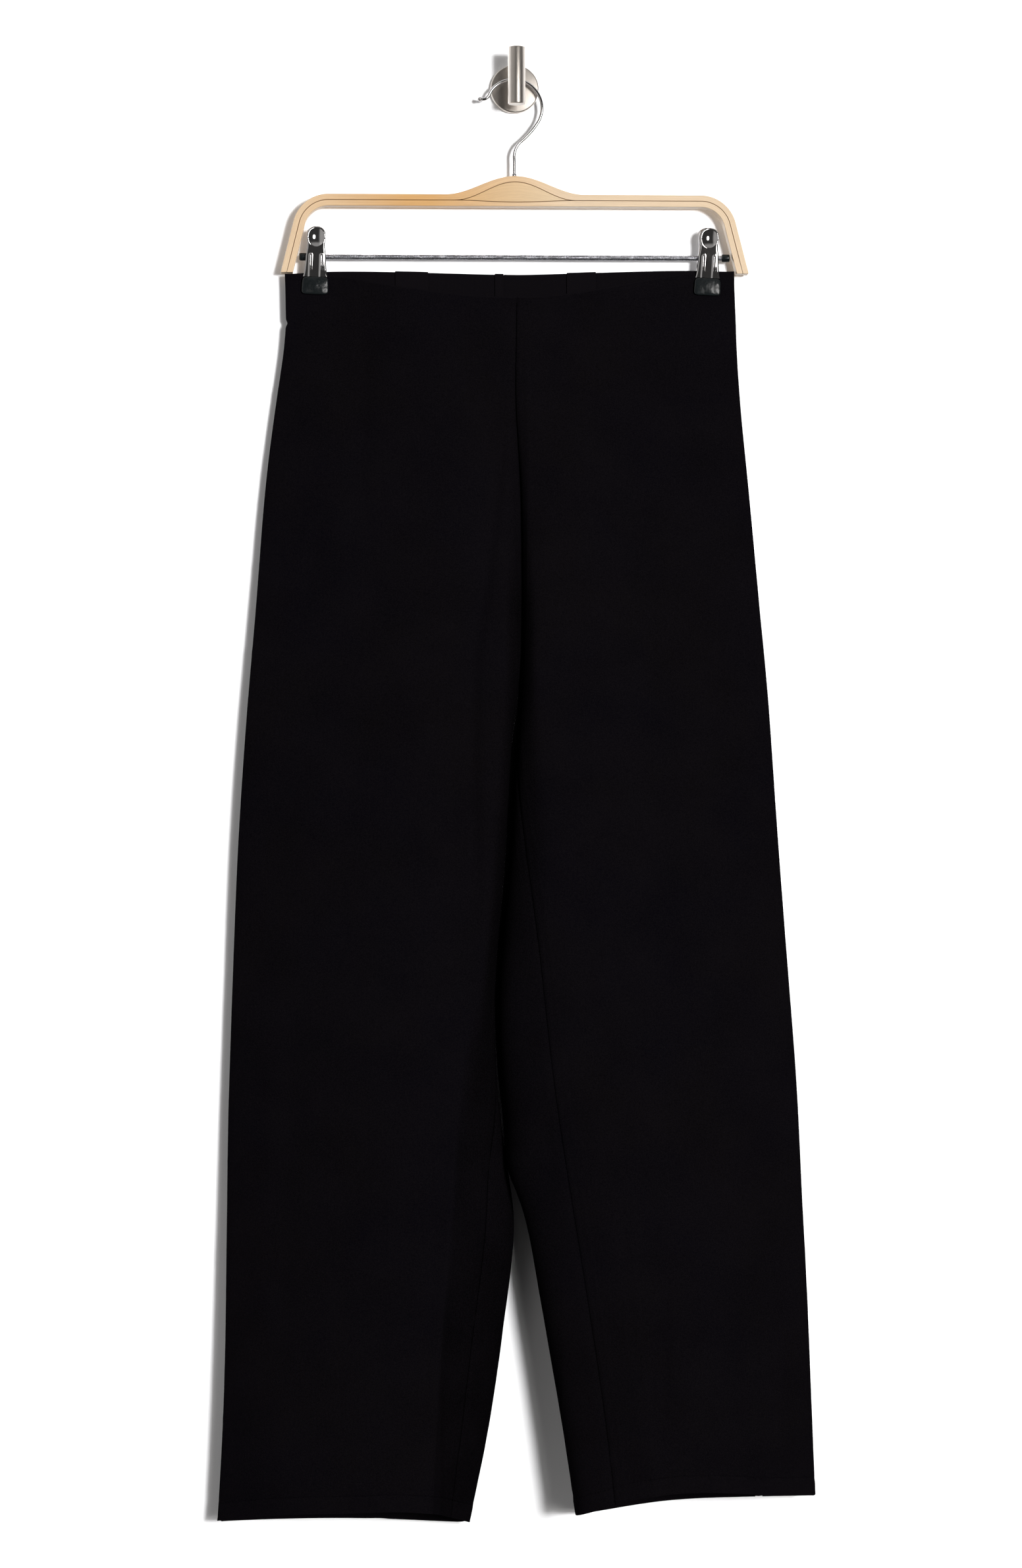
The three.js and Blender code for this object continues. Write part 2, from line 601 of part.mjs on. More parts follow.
// Outline of a clip's pressed steel jaw. Rise is above the bar, and out is from the cloth's middle.
const JAW_ROWS = table(['rise', 'halfWidth', 'out'], [
  [23.9, 2.6, 8.4],
  [23.0, 4.9, 8.6],
  [20.5, 6.8, 8.6],
  [16.5, 7.5, 8.4],
  [12.0, 6.6, 8.0],
  [9.3, 5.9, 7.6],
  [5.0, 6.8, 7.0],
  [0.0, 8.8, 6.6],
  [-8.0, 9.0, 5.6],
  [-14.0, 9.2, 4.7],
  [-16.9, 9.8, 4.1],
]);
const JAW_CROWN = 0.6;

// The back jaw's lever is longer by this much at its end, and the extra runs out over the top rows.
const BACK_LEVER = { extra: 2.5, rows: 4 };

function jaw(front) {
  const extra = front > 0 ? 0 : BACK_LEVER.extra;
  const grid = (inside) => JAW_ROWS.map((row, i) => [-1, 0, 1].map((across) => {
    const out = row.out + JAW_CROWN * (1 - across * across) - inside;
    const rise = row.rise + extra * Math.max(1 - i / BACK_LEVER.rows, 0);
    return new THREE.Vector3(across * row.halfWidth, -front * out, rise);
  }));
  return slab(grid(0), grid(STEEL));
}

function clipPad() {
  return new RoundedBoxGeometry(PAD.width, PAD.depth, PAD.height, 1, PAD.corner);
}

function clipSpring() {
  const geometry = tube(BAR_RADIUS + SEAM_GAP, SPRING_RADIUS, SPRING_WIDTH, SIDES.rod);
  geometry.rotateZ(Math.PI / 2);
  return geometry;
}

function rosette() {
  const { radius, thickness, chamfer } = ROSETTE;
  const profile = [[0, -thickness], [radius - chamfer, -thickness], [radius, chamfer - thickness],
    [radius, 0], [0, 0]];
  return turned(profile, SIDES.rosette);
}

function stem() {
  const start = ROSETTE.thickness + SEAM_GAP;
  const end = POST.out - POST.radius - SEAM_GAP;
  return turned([[0, -end], [STEM_RADIUS, -end], [STEM_RADIUS, -start], [0, -start]], SIDES.stem);
}

function post() {
  const { radius, bottom, top, chamfer } = POST;
  const edge = radius - chamfer;
  const geometry = turned([[0, bottom], [edge, bottom], [radius, bottom + chamfer], [radius, top - chamfer],
    [edge, top], [0, top]], SIDES.post);
  geometry.rotateX(Math.PI / 2);
  return geometry;
}

// Materials
const knit = new THREE.MeshStandardMaterial({ color: 0x0d0b0d, roughness: 0.95, metalness: 0 });
const wood = new THREE.MeshStandardMaterial({ color: 0xe3bf86, roughness: 0.5, metalness: 0 });
const darkWood = new THREE.MeshStandardMaterial({ color: 0xcf9c62, roughness: 0.5, metalness: 0 });
const chrome = new THREE.MeshStandardMaterial({ color: 0xd6d8da, roughness: 0.12, metalness: 1 });
const steel = new THREE.MeshStandardMaterial({ color: 0xa9acb0, roughness: 0.3, metalness: 1 });
const nickel = new THREE.MeshStandardMaterial({ color: 0xb4aea4, roughness: 0.35, metalness: 1 });
const rubber = new THREE.MeshStandardMaterial({ color: 0x101010, roughness: 0.6, metalness: 0 });

function piece(parent, name, geometry, material) {
  const mesh = new THREE.Mesh(geometry, material);
  mesh.name = name;
  parent.add(mesh);
  return mesh;
}

function addClip(parent, { side, x, lean }) {
  const clip = new THREE.Group();
  clip.position.set(x, 0, BAR_HEIGHT);
  clip.rotation.y = THREE.MathUtils.degToRad(lean);
  parent.add(clip);
  const padMiddle = PAD.top - PAD.height / 2;
  for (const [face, front] of [['front', 1], ['back', -1]]) {
    piece(clip, `clip_${side}_${face}_jaw`, jaw(front), chrome);
    const pad = piece(clip, `clip_${side}_${face}_pad`, clipPad(), rubber);
    pad.position.set(0, -front * (PAD.clear + PAD.depth / 2), padMiddle);
  }
  piece(clip, `clip_${side}_spring`, clipSpring(), steel);
}

function addHanger(parent) {
  const hanger = new THREE.Group();
  hanger.position.set(HANGER_PLACE.x, -HANGER_PLACE.out, HANGER_PLACE.z);
  hanger.rotation.y = THREE.MathUtils.degToRad(HANGER_TILT);
  parent.add(hanger);
  piece(hanger, 'hanger_outer_layer', outerLayer(), wood);
  piece(hanger, 'hanger_inner_layer', innerLayer(), wood);
  piece(hanger, 'hanger_insert', hangerInsert(), darkWood);
  piece(hanger, 'hanger_hook', hangerHook(), chrome);
  piece(hanger, 'hook_tip_ball', tipBall(), chrome);
  piece(hanger, 'hook_collar', hookCollar(), chrome);
  const bar = piece(hanger, 'clip_bar', clipBar(), steel);
  bar.position.z = BAR_HEIGHT;
  const capMiddle = BAR_HALF - CAP_LENGTH / 2;
  for (const [side, sign] of [['left', -1], ['right', 1]]) {
    const cap = piece(hanger, `bar_cap_${side}`, barCap(), rubber);
    cap.position.set(sign * capMiddle, 0, BAR_HEIGHT);
  }
  for (const clip of CLIPS) addClip(hanger, clip);
}

function addWallHook(parent) {
  piece(parent, 'wall_rosette', rosette(), nickel);
  piece(parent, 'wall_stem', stem(), nickel);
  const standing = piece(parent, 'wall_post', post(), nickel);
  standing.position.y = -POST.out;
}

function addPants(parent) {
  for (const leg of [LEFT, RIGHT]) {
    piece(parent, `front_${leg.name}`, panel(leg, 'front', frontPlaces), knit);
    piece(parent, `back_${leg.name}`, panel(leg, 'back', backPlaces), knit);
  }
  piece(parent, 'back_waist_facing', backWaistFacing(), knit);
  for (const strip of STRIPS) piece(parent, strip.name, waistStrip(strip), knit);
}

const object = new THREE.Group();
addPants(object);
addHanger(object);
addWallHook(object);

export default object;
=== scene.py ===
import json
import math

import bmesh
import bpy
import numpy as np
from bpy.props import FloatProperty, FloatVectorProperty, PointerProperty
from mathutils import Matrix, Vector, noise
from mathutils.kdtree import KDTree

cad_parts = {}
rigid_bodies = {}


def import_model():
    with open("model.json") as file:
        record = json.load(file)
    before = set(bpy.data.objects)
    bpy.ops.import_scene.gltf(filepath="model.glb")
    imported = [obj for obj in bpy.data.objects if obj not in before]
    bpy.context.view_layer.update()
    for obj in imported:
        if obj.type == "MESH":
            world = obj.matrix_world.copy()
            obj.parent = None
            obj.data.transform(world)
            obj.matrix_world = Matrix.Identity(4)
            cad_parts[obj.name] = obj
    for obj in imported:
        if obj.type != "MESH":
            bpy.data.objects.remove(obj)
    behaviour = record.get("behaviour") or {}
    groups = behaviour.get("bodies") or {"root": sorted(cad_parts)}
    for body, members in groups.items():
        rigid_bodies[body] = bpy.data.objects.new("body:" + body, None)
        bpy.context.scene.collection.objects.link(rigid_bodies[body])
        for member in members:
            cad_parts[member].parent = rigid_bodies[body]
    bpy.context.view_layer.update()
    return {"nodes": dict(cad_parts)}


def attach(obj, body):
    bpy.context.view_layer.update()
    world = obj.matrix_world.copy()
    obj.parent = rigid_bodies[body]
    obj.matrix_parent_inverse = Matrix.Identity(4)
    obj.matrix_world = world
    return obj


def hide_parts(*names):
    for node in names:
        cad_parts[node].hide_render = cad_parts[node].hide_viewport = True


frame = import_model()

bl_info = {
    "name": "Knit Pants on a Clip Hanger",
    "version": (1, 0, 0),
    "blender": (4, 2, 0),
    "location": "View3D > Sidebar > Pants",
    "description": "Dresses wide-leg knit pants, their clip hanger and the wall hook that holds them",
    "category": "Object",
}

NODES = frame["nodes"]

# One millimetre in metres. The tables below are in millimetres and degrees where they name no other unit.
MM = 0.001

FRONT = Vector((0, -1, 0))
BACK = Vector((0, 1, 0))

# The hanger hangs this far out from the wall and leans by this angle.
HANGER_PLACE = Matrix.Translation((-0.0008, -0.011, 0.0014)) @ Matrix.Rotation(math.radians(-0.3), 4, "Y")
BAR_HEIGHT = -142.4

# Each panel, the side of it that shows, and its cut with the hem's turn-up: width, length and area in metres.
PANELS = [
    ("front_left", FRONT, (0.271, 1.040), 0.234),
    ("front_right", FRONT, (0.270, 1.028), 0.208),
    ("back_left", BACK, (0.283, 1.048), 0.247),
    ("back_right", BACK, (0.318, 1.046), 0.273),
]

# Folds: the kind of edge, and a path of x, height, half width and lift. A trough's lift is negative.
FRONT_FOLDS = [
    ("soft", [(-9, -270, 6, 0), (-17, -330, 9, -1.5), (-26, -400, 10, -2), (-37, -480, 10, -2), (-38, -560, 9, -1.6),
              (-36, -650, 9, -1.4), (-36, -730, 8, 0)]),
    ("crisp", [(-44, -790, 6, 0), (-52, -860, 9, 1.3), (-59, -950, 10, 2.2), (-67, -1050, 10, 2.6),
               (-71, -1120, 11, 2.6), (-74, -1188, 11, 2.4)]),
    ("soft", [(-125, -215, 9, 0), (-127, -260, 12, -1.2), (-126, -310, 12, 0)]),
    ("soft", [(-129, -255, 10, 0), (-128, -320, 14, -1.0), (-130, -390, 12, 0)]),
    ("soft", [(-158, -350, 9, 0), (-166, -385, 12, -1.0), (-174, -430, 10, 0)]),
    ("soft", [(157, -330, 9, 0), (160, -400, 13, -1.8), (165, -480, 14, -2.2), (170, -560, 12, -1.2),
              (176, -630, 10, 0)]),
    ("soft", [(129, -370, 10, 0), (121, -460, 15, 1.3), (119, -540, 15, 1.3), (120, -620, 12, 0)]),
    ("crisp", [(88, -900, 6, 0), (92, -960, 9, 1.5), (96, -1020, 10, 2.4), (103, -1080, 10, 2.4),
               (107, -1140, 10, 1.6), (109, -1170, 9, 0.8)]),
    ("soft", [(117, -960, 8, 0), (116, -1010, 10, -2), (115, -1060, 10, -2), (112, -1120, 8, 0)]),
    ("soft", [(176, -980, 12, 0), (184, -1030, 18, -2.0), (190, -1090, 18, -2.4), (196, -1150, 14, -1)]),
    ("soft", [(-140, -1110, 5, 0), (-139, -1145, 6, -0.9), (-139, -1172, 6, -0.9)]),
    ("soft", [(20, -300, 10, 0), (26, -370, 14, 0.9), (30, -450, 14, 0)]),
    ("soft", [(-180, -700, 14, 0), (-186, -800, 20, -1.2), (-190, -930, 20, -1.4), (-192, -1060, 16, 0)]),
    ("soft", [(60, -640, 14, 0), (78, -740, 20, 1.0), (96, -860, 20, 0)]),
]

BACK_FOLDS = [
    ("soft", [(-30, -300, 10, 0), (-44, -400, 16, -1.8), (-58, -520, 18, -2.2), (-70, -680, 16, 0)]),
    ("soft", [(34, -290, 10, 0), (50, -390, 16, -1.8), (62, -520, 18, -2.2), (72, -700, 16, 0)]),
    ("soft", [(-140, -620, 12, 0), (-146, -760, 20, -1.8), (-150, -930, 20, -2.2), (-152, -1100, 16, -1)]),
    ("soft", [(150, -640, 12, 0), (154, -780, 20, -1.8), (160, -940, 20, -2.2), (166, -1120, 16, -1)]),
    ("crisp", [(-96, -860, 8, 0), (-102, -960, 10, 1.6), (-108, -1080, 10, 2.0), (-112, -1180, 10, 1.6)]),
    ("crisp", [(112, -900, 8, 0), (118, -990, 10, 1.6), (124, -1080, 10, 2.0), (128, -1160, 10, 1.4)]),
    ("soft", [(-120, -220, 9, 0), (-122, -280, 13, -1.2), (-124, -350, 12, 0)]),
    ("soft", [(118, -220, 9, 0), (121, -290, 13, -1.2), (126, -370, 12, 0)]),
]

# How far the side seams stand out, as rows of height, left and right.
SIDE_FULLNESS = [
    (-166, 0.1, 0.8), (-195, 0.3, 1.4), (-210, 0.9, 1.4), (-305, 1.0, 1.3), (-440, 0.6, 0.9), (-520, 1.0, 1.5),
    (-600, 1.0, 2.0), (-680, 0.9, 2.4), (-845, 1.2, 2.3), (-925, 0.5, 1.5), (-1140, 0.5, 1.7), (-1210, 0.5, 1.7),
]

# How far the right leg's inner back is tucked behind the left leg: height, half its run and depth.
INNER_TUCK = (-893, 26, 5)

# The nick in the left side seam: height, half its run and depth.
NICK = (-197, 2.2, 1.5)

# Where the cloth hangs free of the clips and where the legs part: height and run of the change.
FREE_OF_CLIPS = (-190, 30)
LEGS_PART = (-380, 50)

# How wide a seam sinks, where its allowance shows as a ridge and how wide the hem's stitched line is.
SEAM_WIDTH, ALLOWANCE, HEM_LINE = 3, 9, 2


def colour_setting(name, description, default):
    return FloatVectorProperty(
        name=name, description=f"Colour of {description}", subtype="COLOR", default=default, min=0, max=1
    )


def length_setting(name, description, default, low, high):
    """A length, given in millimetres."""
    return FloatProperty(
        name=name, description=description, default=default * MM, min=low * MM, max=high * MM, unit="LENGTH"
    )


def power_setting(name, description, default, high):
    return FloatProperty(name=name, description=description, default=default, min=0, max=high)


class KnitSettings(bpy.types.PropertyGroup):
    """The black double knit of the pants."""

    colour: colour_setting("Colour", "the knit", (0.00117, 0.00098, 0.00122))
    thickness: length_setting("Thickness", "Thickness of one layer", 1.4, 0.5, 3)
    hem: length_setting("Hem depth", "Depth of the turned hem", 14, 5, 40)
    seam_groove: length_setting("Seam groove", "How deep a seam sinks", 0.7, 0, 2)
    unevenness: length_setting("Unevenness", "Height of the cloth's slow waves", 0.5, 0, 3)


class HangerSettings(bpy.types.PropertyGroup):
    """The bent-wood hanger."""

    wood: colour_setting("Wood", "the pale wood", (0.55, 0.365, 0.18))
    insert: colour_setting("Insert", "the insert", (0.53, 0.355, 0.168))
    edge: length_setting("Edge rounding", "Radius of the wood's edges", 0.9, 0.2, 2)
    wire: length_setting("Hook wire", "Radius of the hook's wire", 1.4, 0.5, 3)


class MetalSettings(bpy.types.PropertyGroup):
    """Clips, bar and wall hook."""

    chrome: colour_setting("Chrome", "the chrome", (0.60, 0.59, 0.59))
    steel: colour_setting("Steel", "the bar", (0.74, 0.75, 0.82))
    nickel: colour_setting("Nickel", "the wall hook", (0.66, 0.61, 0.56))
    rubber: colour_setting("Rubber", "the pads", (0.005, 0.0065, 0.007))


class StageSettings(bpy.types.PropertyGroup):
    """Wall, lights and the room that the metal mirrors."""

    wall: colour_setting("Wall", "the wall", (0.86, 0.86, 0.87))
    key: power_setting("Key light", "Power of the key light in watts", 400, 5000)
    fill: power_setting("Fill light", "Power of the soft fill in watts", 20, 5000)
    back: power_setting("Back light", "Power of each back light in watts", 60, 5000)
    room: power_setting("Left wall", "Strength of the room's left wall", 0.42, 5)
    ceiling: power_setting("Ceiling", "Strength of the room's ceiling", 0.33, 5)
    window: power_setting("Window", "Strength of the mirrored window", 13, 50)
    dim: power_setting("Dim room", "Strength of the rest of the room", 0.05, 5)


class Value:
    """A shader output that takes part in sums."""

    def __init__(self, material, socket):
        self.material = material
        self.socket = socket

    def math(self, operation, *others):
        inputs = {0: self, **{i + 1: other for i, other in enumerate(others)}}
        return self.material.value("ShaderNodeMath", {"operation": operation}, inputs)

    def __add__(self, other):
        return self.math("ADD", other)

    def __mul__(self, other):
        return self.math("MULTIPLY", other)

    def __sub__(self, other):
        return self.math("SUBTRACT", other)

    def __rsub__(self, other):
        return (self * -1) + other

    def clamp(self):
        node = self.material.node("ShaderNodeClamp", {}, {"Value": self})
        return Value(self.material, node.outputs[0])

    __radd__ = __add__
    __rmul__ = __mul__


class Finish:
    """A material built from nodes."""

    def __init__(self, name, **sockets):
        self.made = bpy.data.materials.new(name)
        self.made.use_nodes = True
        self.tree = self.made.node_tree
        self.shader = next(n for n in self.tree.nodes if n.type == "BSDF_PRINCIPLED")
        self.set(**sockets)

    def set(self, **sockets):
        for name, value in sockets.items():
            self.feed(self.shader.inputs[name.replace("_", " ")], value)

    def feed(self, socket, value):
        if isinstance(value, Value):
            self.tree.links.new(value.socket, socket)
        elif hasattr(value, "__len__") and len(value) == 3 and socket.type == "RGBA":
            socket.default_value = (*value, 1)
        else:
            socket.default_value = value

    def node(self, kind, settings, inputs):
        """Adds a node, sets its settings and then its sockets."""
        node = self.tree.nodes.new(kind)
        for name, value in settings.items():
            setattr(node, name, value)
        for name, value in inputs.items():
            self.feed(node.inputs[name], value)
        return node

    def value(self, kind, settings, inputs, output=0):
        return Value(self, self.node(kind, settings, inputs).outputs[output])

    def place(self):
        return self.value("ShaderNodeTexCoord", {}, {}, "Object")

    def stored(self, name, output="Fac"):
        return self.value("ShaderNodeAttribute", {"attribute_name": name}, {}, output)

    def split(self, vector):
        node = self.node("ShaderNodeSeparateXYZ", {}, {"Vector": vector})
        return [Value(self, output) for output in node.outputs]

    def stretched(self, vector, scale):
        return self.value("ShaderNodeMapping", {}, {"Vector": vector, "Scale": scale})

    def noise(self, vector, scale, detail=3.0, roughness=0.5):
        return self.value(
            "ShaderNodeTexNoise", {}, {"Vector": vector, "Scale": scale, "Detail": detail, "Roughness": roughness}
        )

    def spots(self, scale, detail=3.0, roughness=0.5):
        return self.noise(self.place(), scale, detail, roughness)

    def mixed(self, share, first, second):
        node = self.node("ShaderNodeMix", {"data_type": "RGBA"}, {})
        self.feed(node.inputs["Factor"], share)
        colours = [s for s in node.inputs if s.type == "RGBA"]
        self.feed(colours[0], first)
        self.feed(colours[1], second)
        return Value(self, next(s for s in node.outputs if s.type == "RGBA"))

    def bump(self, height, strength, distance):
        normal = self.value("ShaderNodeBump", {}, {"Height": height, "Strength": strength, "Distance": distance})
        self.set(Normal=normal)


def shaded(colour, share):
    return tuple(c * share for c in colour)


# Pitches of the knit's ribs, its rows and the hem's pricks.
RIB, ROW, PRICK = 1.1 * MM, 0.9 * MM, 6.5 * MM


def wave(value, pitch):
    """A sine wave along a length."""
    return (value * (2 * math.pi / pitch)).math("SINE")


def knit_finish():
    """Black double knit: fine ribs, fuzz, painted shade along the seams, the stitched line and between the legs, a
    painted highlight along the waist's edge, a paler facing and the pricks of the hem's blind stitch.
    """
    settings = bpy.context.scene.pants_knit
    colour = tuple(settings.colour)
    finish = Finish("knit", Specular_IOR_Level=0.0)
    across, along, _ = finish.split(finish.value("ShaderNodeUVMap", {"uv_map": "cut"}, {}))
    ribs, rows = wave(across, RIB), wave(along, ROW)
    fuzz = finish.spots(900, 4, 0.6)
    patches = finish.spots(22, 3)
    hem = finish.stored("above_hem")
    on_hem = ((settings.hem - hem) * 900).clamp()
    # The stitched line is a groove, and the colour darkens a little along it as painted shade.
    stitch_line = 1 - ((hem - settings.hem).math("ABSOLUTE") * 1300).clamp()
    pricks = (wave(across, PRICK) - 0.55).clamp() * 2
    # Painted shade: the colour darkens along the seams, in their grooves.
    seam_shade = 1 - (finish.stored("from_seam") * 1100).clamp()
    # Painted highlight: a thin lighter line along the front panels' waist edge.
    edge = 1 - (finish.stored("from_waist") * 800).clamp()
    shade = patches * 0.6 + fuzz * 1.9 + on_hem * 0.07 + edge * 1.2 - seam_shade * 0.35 - stitch_line * 0.2 - 0.55
    shade = shade.clamp()
    tint = finish.spots(9, 4, 0.6)
    cloth = finish.mixed((tint * 4 - 1.5).clamp(), colour, (colour[0] * 0.8, colour[1] * 0.85, colour[2] * 1.3))
    cloth = finish.mixed(finish.stored("inside"), cloth, shaded(colour, 2.6))
    # Painted shade: the legs' inner faces between the legs are darkened to near black, standing for the other leg's
    # shadow.
    cloth = finish.mixed(finish.stored("between_legs"), cloth, shaded(colour, 0.08))
    finish.set(Base_Color=finish.mixed(shade * 0.8, cloth, shaded(colour, 3)))
    finish.set(Roughness=0.82 + 0.16 * fuzz)
    height = ribs * 0.2 + rows * 0.15 + fuzz * 1.2 - stitch_line * (0.5 + pricks * 1.6)
    finish.bump(height, 0.6, 0.2 * MM)
    return finish.made


# The wood's tints, amber near the window's side and paler away from it, by the distance from this x in metres.
AMBER, PALE, AMBER_X = (1.0, 0.85, 0.64), (1.13, 1.3, 1.8), -0.08


def wood_finish(name, colour, dark):
    """Lacquered wood whose grain runs along the bent strip, brown with glue at its joints."""
    finish = Finish(name, Coat_Weight=0.25, Coat_Roughness=0.3)
    grain = finish.stored("grain", "Vector")
    glue = 1 - (finish.stored("from_joint") * 2400).clamp()
    streaks = finish.noise(finish.stretched(grain, (28, 1500, 900)), 1.0, 5, 0.62)
    fibres = finish.noise(finish.stretched(grain, (160, 4200, 3800)), 1.0, 3, 0.6)
    clouds = finish.noise(finish.stretched(grain, (22, 60, 60)), 1.0, 2)
    share = (streaks * 1.1 + fibres * 0.6 + clouds * 0.3 - 0.75).clamp()
    paler = ((finish.split(finish.place())[0] - AMBER_X).math("ABSOLUTE") * 9 - 0.1).clamp()
    amber, pale = (
        finish.mixed(share, tuple(np.multiply(dark, tint)), tuple(np.multiply(colour, tint)))
        for tint in (AMBER, PALE)
    )
    wood = finish.mixed(paler, amber, pale)
    finish.set(Base_Color=finish.mixed(glue * 0.75, wood, (dark[0] * 0.5, dark[1] * 0.35, dark[2] * 0.22)))
    finish.set(Roughness=0.55 - 0.15 * streaks)
    finish.bump(streaks * 0.6 + fibres * 0.4, 0.35, 0.12 * MM)
    return finish.made


def chrome_finish():
    """Polished chrome with faint smears and tiny pits."""
    colour = tuple(bpy.context.scene.pants_metal.chrome)
    finish = Finish("chrome", Metallic=1.0)
    smears = finish.spots(160, 4, 0.6)
    pits = finish.spots(1400, 3, 0.7)
    finish.set(Base_Color=finish.mixed(smears, shaded(colour, 0.82), colour))
    finish.set(Roughness=0.03 + 0.07 * smears)
    finish.bump(smears * 0.5 + pits * 0.4, 0.25, 0.05 * MM)
    return finish.made


def bar_finish():
    """Bright drawn steel, mottled where the plating has dulled."""
    colour = tuple(bpy.context.scene.pants_metal.steel)
    finish = Finish("bar_steel", Metallic=1.0)
    spots = finish.spots(900, 4, 0.75)
    long_spots = finish.noise(finish.stretched(finish.place(), (110, 700, 700)), 1.0, 3, 0.6)
    share = ((spots * 1.2 + long_spots) * 4.2 - 4.3).clamp()
    finish.set(Base_Color=finish.mixed(share, shaded(colour, 0.4), shaded(colour, 1.3)))
    finish.set(Roughness=0.34 + 0.3 * spots)
    finish.bump(spots, 0.8, 0.25 * MM)
    return finish.made


def rubber_finish():
    """Dipped black rubber, slightly glossy and dusty."""
    colour = tuple(bpy.context.scene.pants_metal.rubber)
    finish = Finish("black_rubber", Specular_IOR_Level=0.4)
    dust = finish.spots(240, 4, 0.65)
    waves = finish.spots(110, 2)
    finish.set(Base_Color=finish.mixed(dust, shaded(colour, 0.5), shaded(colour, 1.5)))
    finish.set(Roughness=0.14 + 0.16 * dust)
    finish.bump(waves + dust * 0.2, 0.8, 0.8 * MM)
    return finish.made


def nickel_finish():
    """Brushed nickel with fine lines along the post."""
    colour = tuple(bpy.context.scene.pants_metal.nickel)
    finish = Finish("brushed_nickel", Metallic=1.0)
    lines = finish.noise(finish.stretched(finish.place(), (5200, 5200, 60)), 1.0, 4, 0.65)
    clouds = finish.spots(60, 3)
    finish.set(Base_Color=finish.mixed(lines * 0.7 + clouds * 0.3, shaded(colour, 0.6), colour))
    finish.set(Roughness=0.26 + 0.2 * lines)
    finish.bump(lines, 0.3, 0.04 * MM)
    return finish.made


FINISHES = {}


def finish_of(slot):
    """The material of a slot, made when it is first asked for."""
    if slot not in FINISHES:
        hanger = bpy.context.scene.pants_hanger
        wood, insert = tuple(hanger.wood), tuple(hanger.insert)
        makers = {
            "knit": knit_finish,
            "light_wood": lambda: wood_finish("light_wood", wood, shaded(wood, 0.72)),
            "insert_wood": lambda: wood_finish("insert_wood", insert, shaded(insert, 0.7)),
            "chrome": chrome_finish,
            "bar_steel": bar_finish,
            "black_rubber": rubber_finish,
            "brushed_nickel": nickel_finish,
        }
        FINISHES[slot] = makers[slot]()
    return FINISHES[slot]


def make_active(obj):
    """Deselects everything and selects one object."""
    if bpy.context.object and bpy.context.object.mode != "OBJECT":
        bpy.ops.object.mode_set(mode="OBJECT")
    bpy.ops.object.select_all(action="DESELECT")
    obj.select_set(True)
    bpy.context.view_layer.objects.active = obj


def choose(kind, action):
    bpy.ops.mesh.select_mode(type=kind)
    bpy.ops.mesh.select_all(action=action)


def edit_all(obj):
    make_active(obj)
    bpy.ops.object.mode_set(mode="EDIT")
    choose("VERT", "SELECT")


def stop_editing():
    bpy.ops.object.mode_set(mode="OBJECT")


def apply_modifier(obj, kind, **settings):
    modifier = obj.modifiers.new(kind.lower(), kind)
    for name, value in settings.items():
        setattr(modifier, name, value)
    make_active(obj)
    bpy.ops.object.modifier_apply(modifier=modifier.name)


def copy_node(node, name):
    """A merged copy of a CAD node's mesh as a new object."""
    obj = bpy.data.objects.new(name, NODES[node].data.copy())
    bpy.context.scene.collection.objects.link(obj)
    obj.data.materials.clear()
    edit_all(obj)
    bpy.ops.mesh.remove_doubles(threshold=0.01 * MM)
    stop_editing()
    return obj


def take_primitive(name):
    obj = bpy.context.object
    obj.name = name
    obj.data.name = name
    return obj


def fix_place(obj, matrix=None):
    """Puts the object's place, and a further one if given, into its mesh."""
    if matrix is not None:
        obj.matrix_world = matrix @ obj.matrix_world
    bpy.context.view_layer.update()
    make_active(obj)
    bpy.ops.object.transform_apply(location=True, rotation=True, scale=True)


def face_outwards(obj):
    edit_all(obj)
    bpy.ops.mesh.remove_doubles(threshold=0.01 * MM)
    bpy.ops.mesh.normals_make_consistent(inside=False)
    stop_editing()


def smooth(obj, degrees=40):
    make_active(obj)
    bpy.ops.object.shade_smooth_by_angle(angle=math.radians(degrees))


def hand_over(obj, slot, *nodes):
    """Gives a finished piece the material of its slot, attaches it to the root body and hides the CAD nodes that it
    stands for.
    """
    obj.data.materials.clear()
    obj.data.materials.append(finish_of(slot))
    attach(obj, "root")
    if nodes:
        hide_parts(*nodes)


def points_of(mesh, kind="co"):
    values = np.zeros(len(mesh.vertices) * 3)
    mesh.vertices.foreach_get(kind, values)
    return values.reshape(-1, 3)


def set_points(mesh, points):
    mesh.vertices.foreach_set("co", points.ravel())
    mesh.update()


def keep_showing_side(obj, showing):
    """Keeps only the face of the cloth that shows and deletes its other wall and its cut edges."""
    edit_all(obj)
    bpy.ops.mesh.tris_convert_to_quads()
    choose("EDGE", "DESELECT")
    bpy.ops.mesh.edges_select_sharp(sharpness=math.radians(65))
    bpy.ops.mesh.mark_sharp()
    choose("FACE", "DESELECT")
    mesh = bmesh.from_edit_mesh(obj.data)
    facing = [face for face in mesh.faces if face.normal.dot(showing) > 0.7]
    outermost = max(facing, key=lambda face: face.calc_center_median().dot(showing))
    outermost.select = True
    bmesh.update_edit_mesh(obj.data)
    bpy.ops.mesh.select_linked(delimit={"SHARP"})
    bpy.ops.mesh.select_all(action="INVERT")
    bpy.ops.mesh.delete(type="FACE")
    bpy.ops.mesh.select_all(action="SELECT")
    bpy.ops.mesh.mark_sharp(clear=True)
    stop_editing()


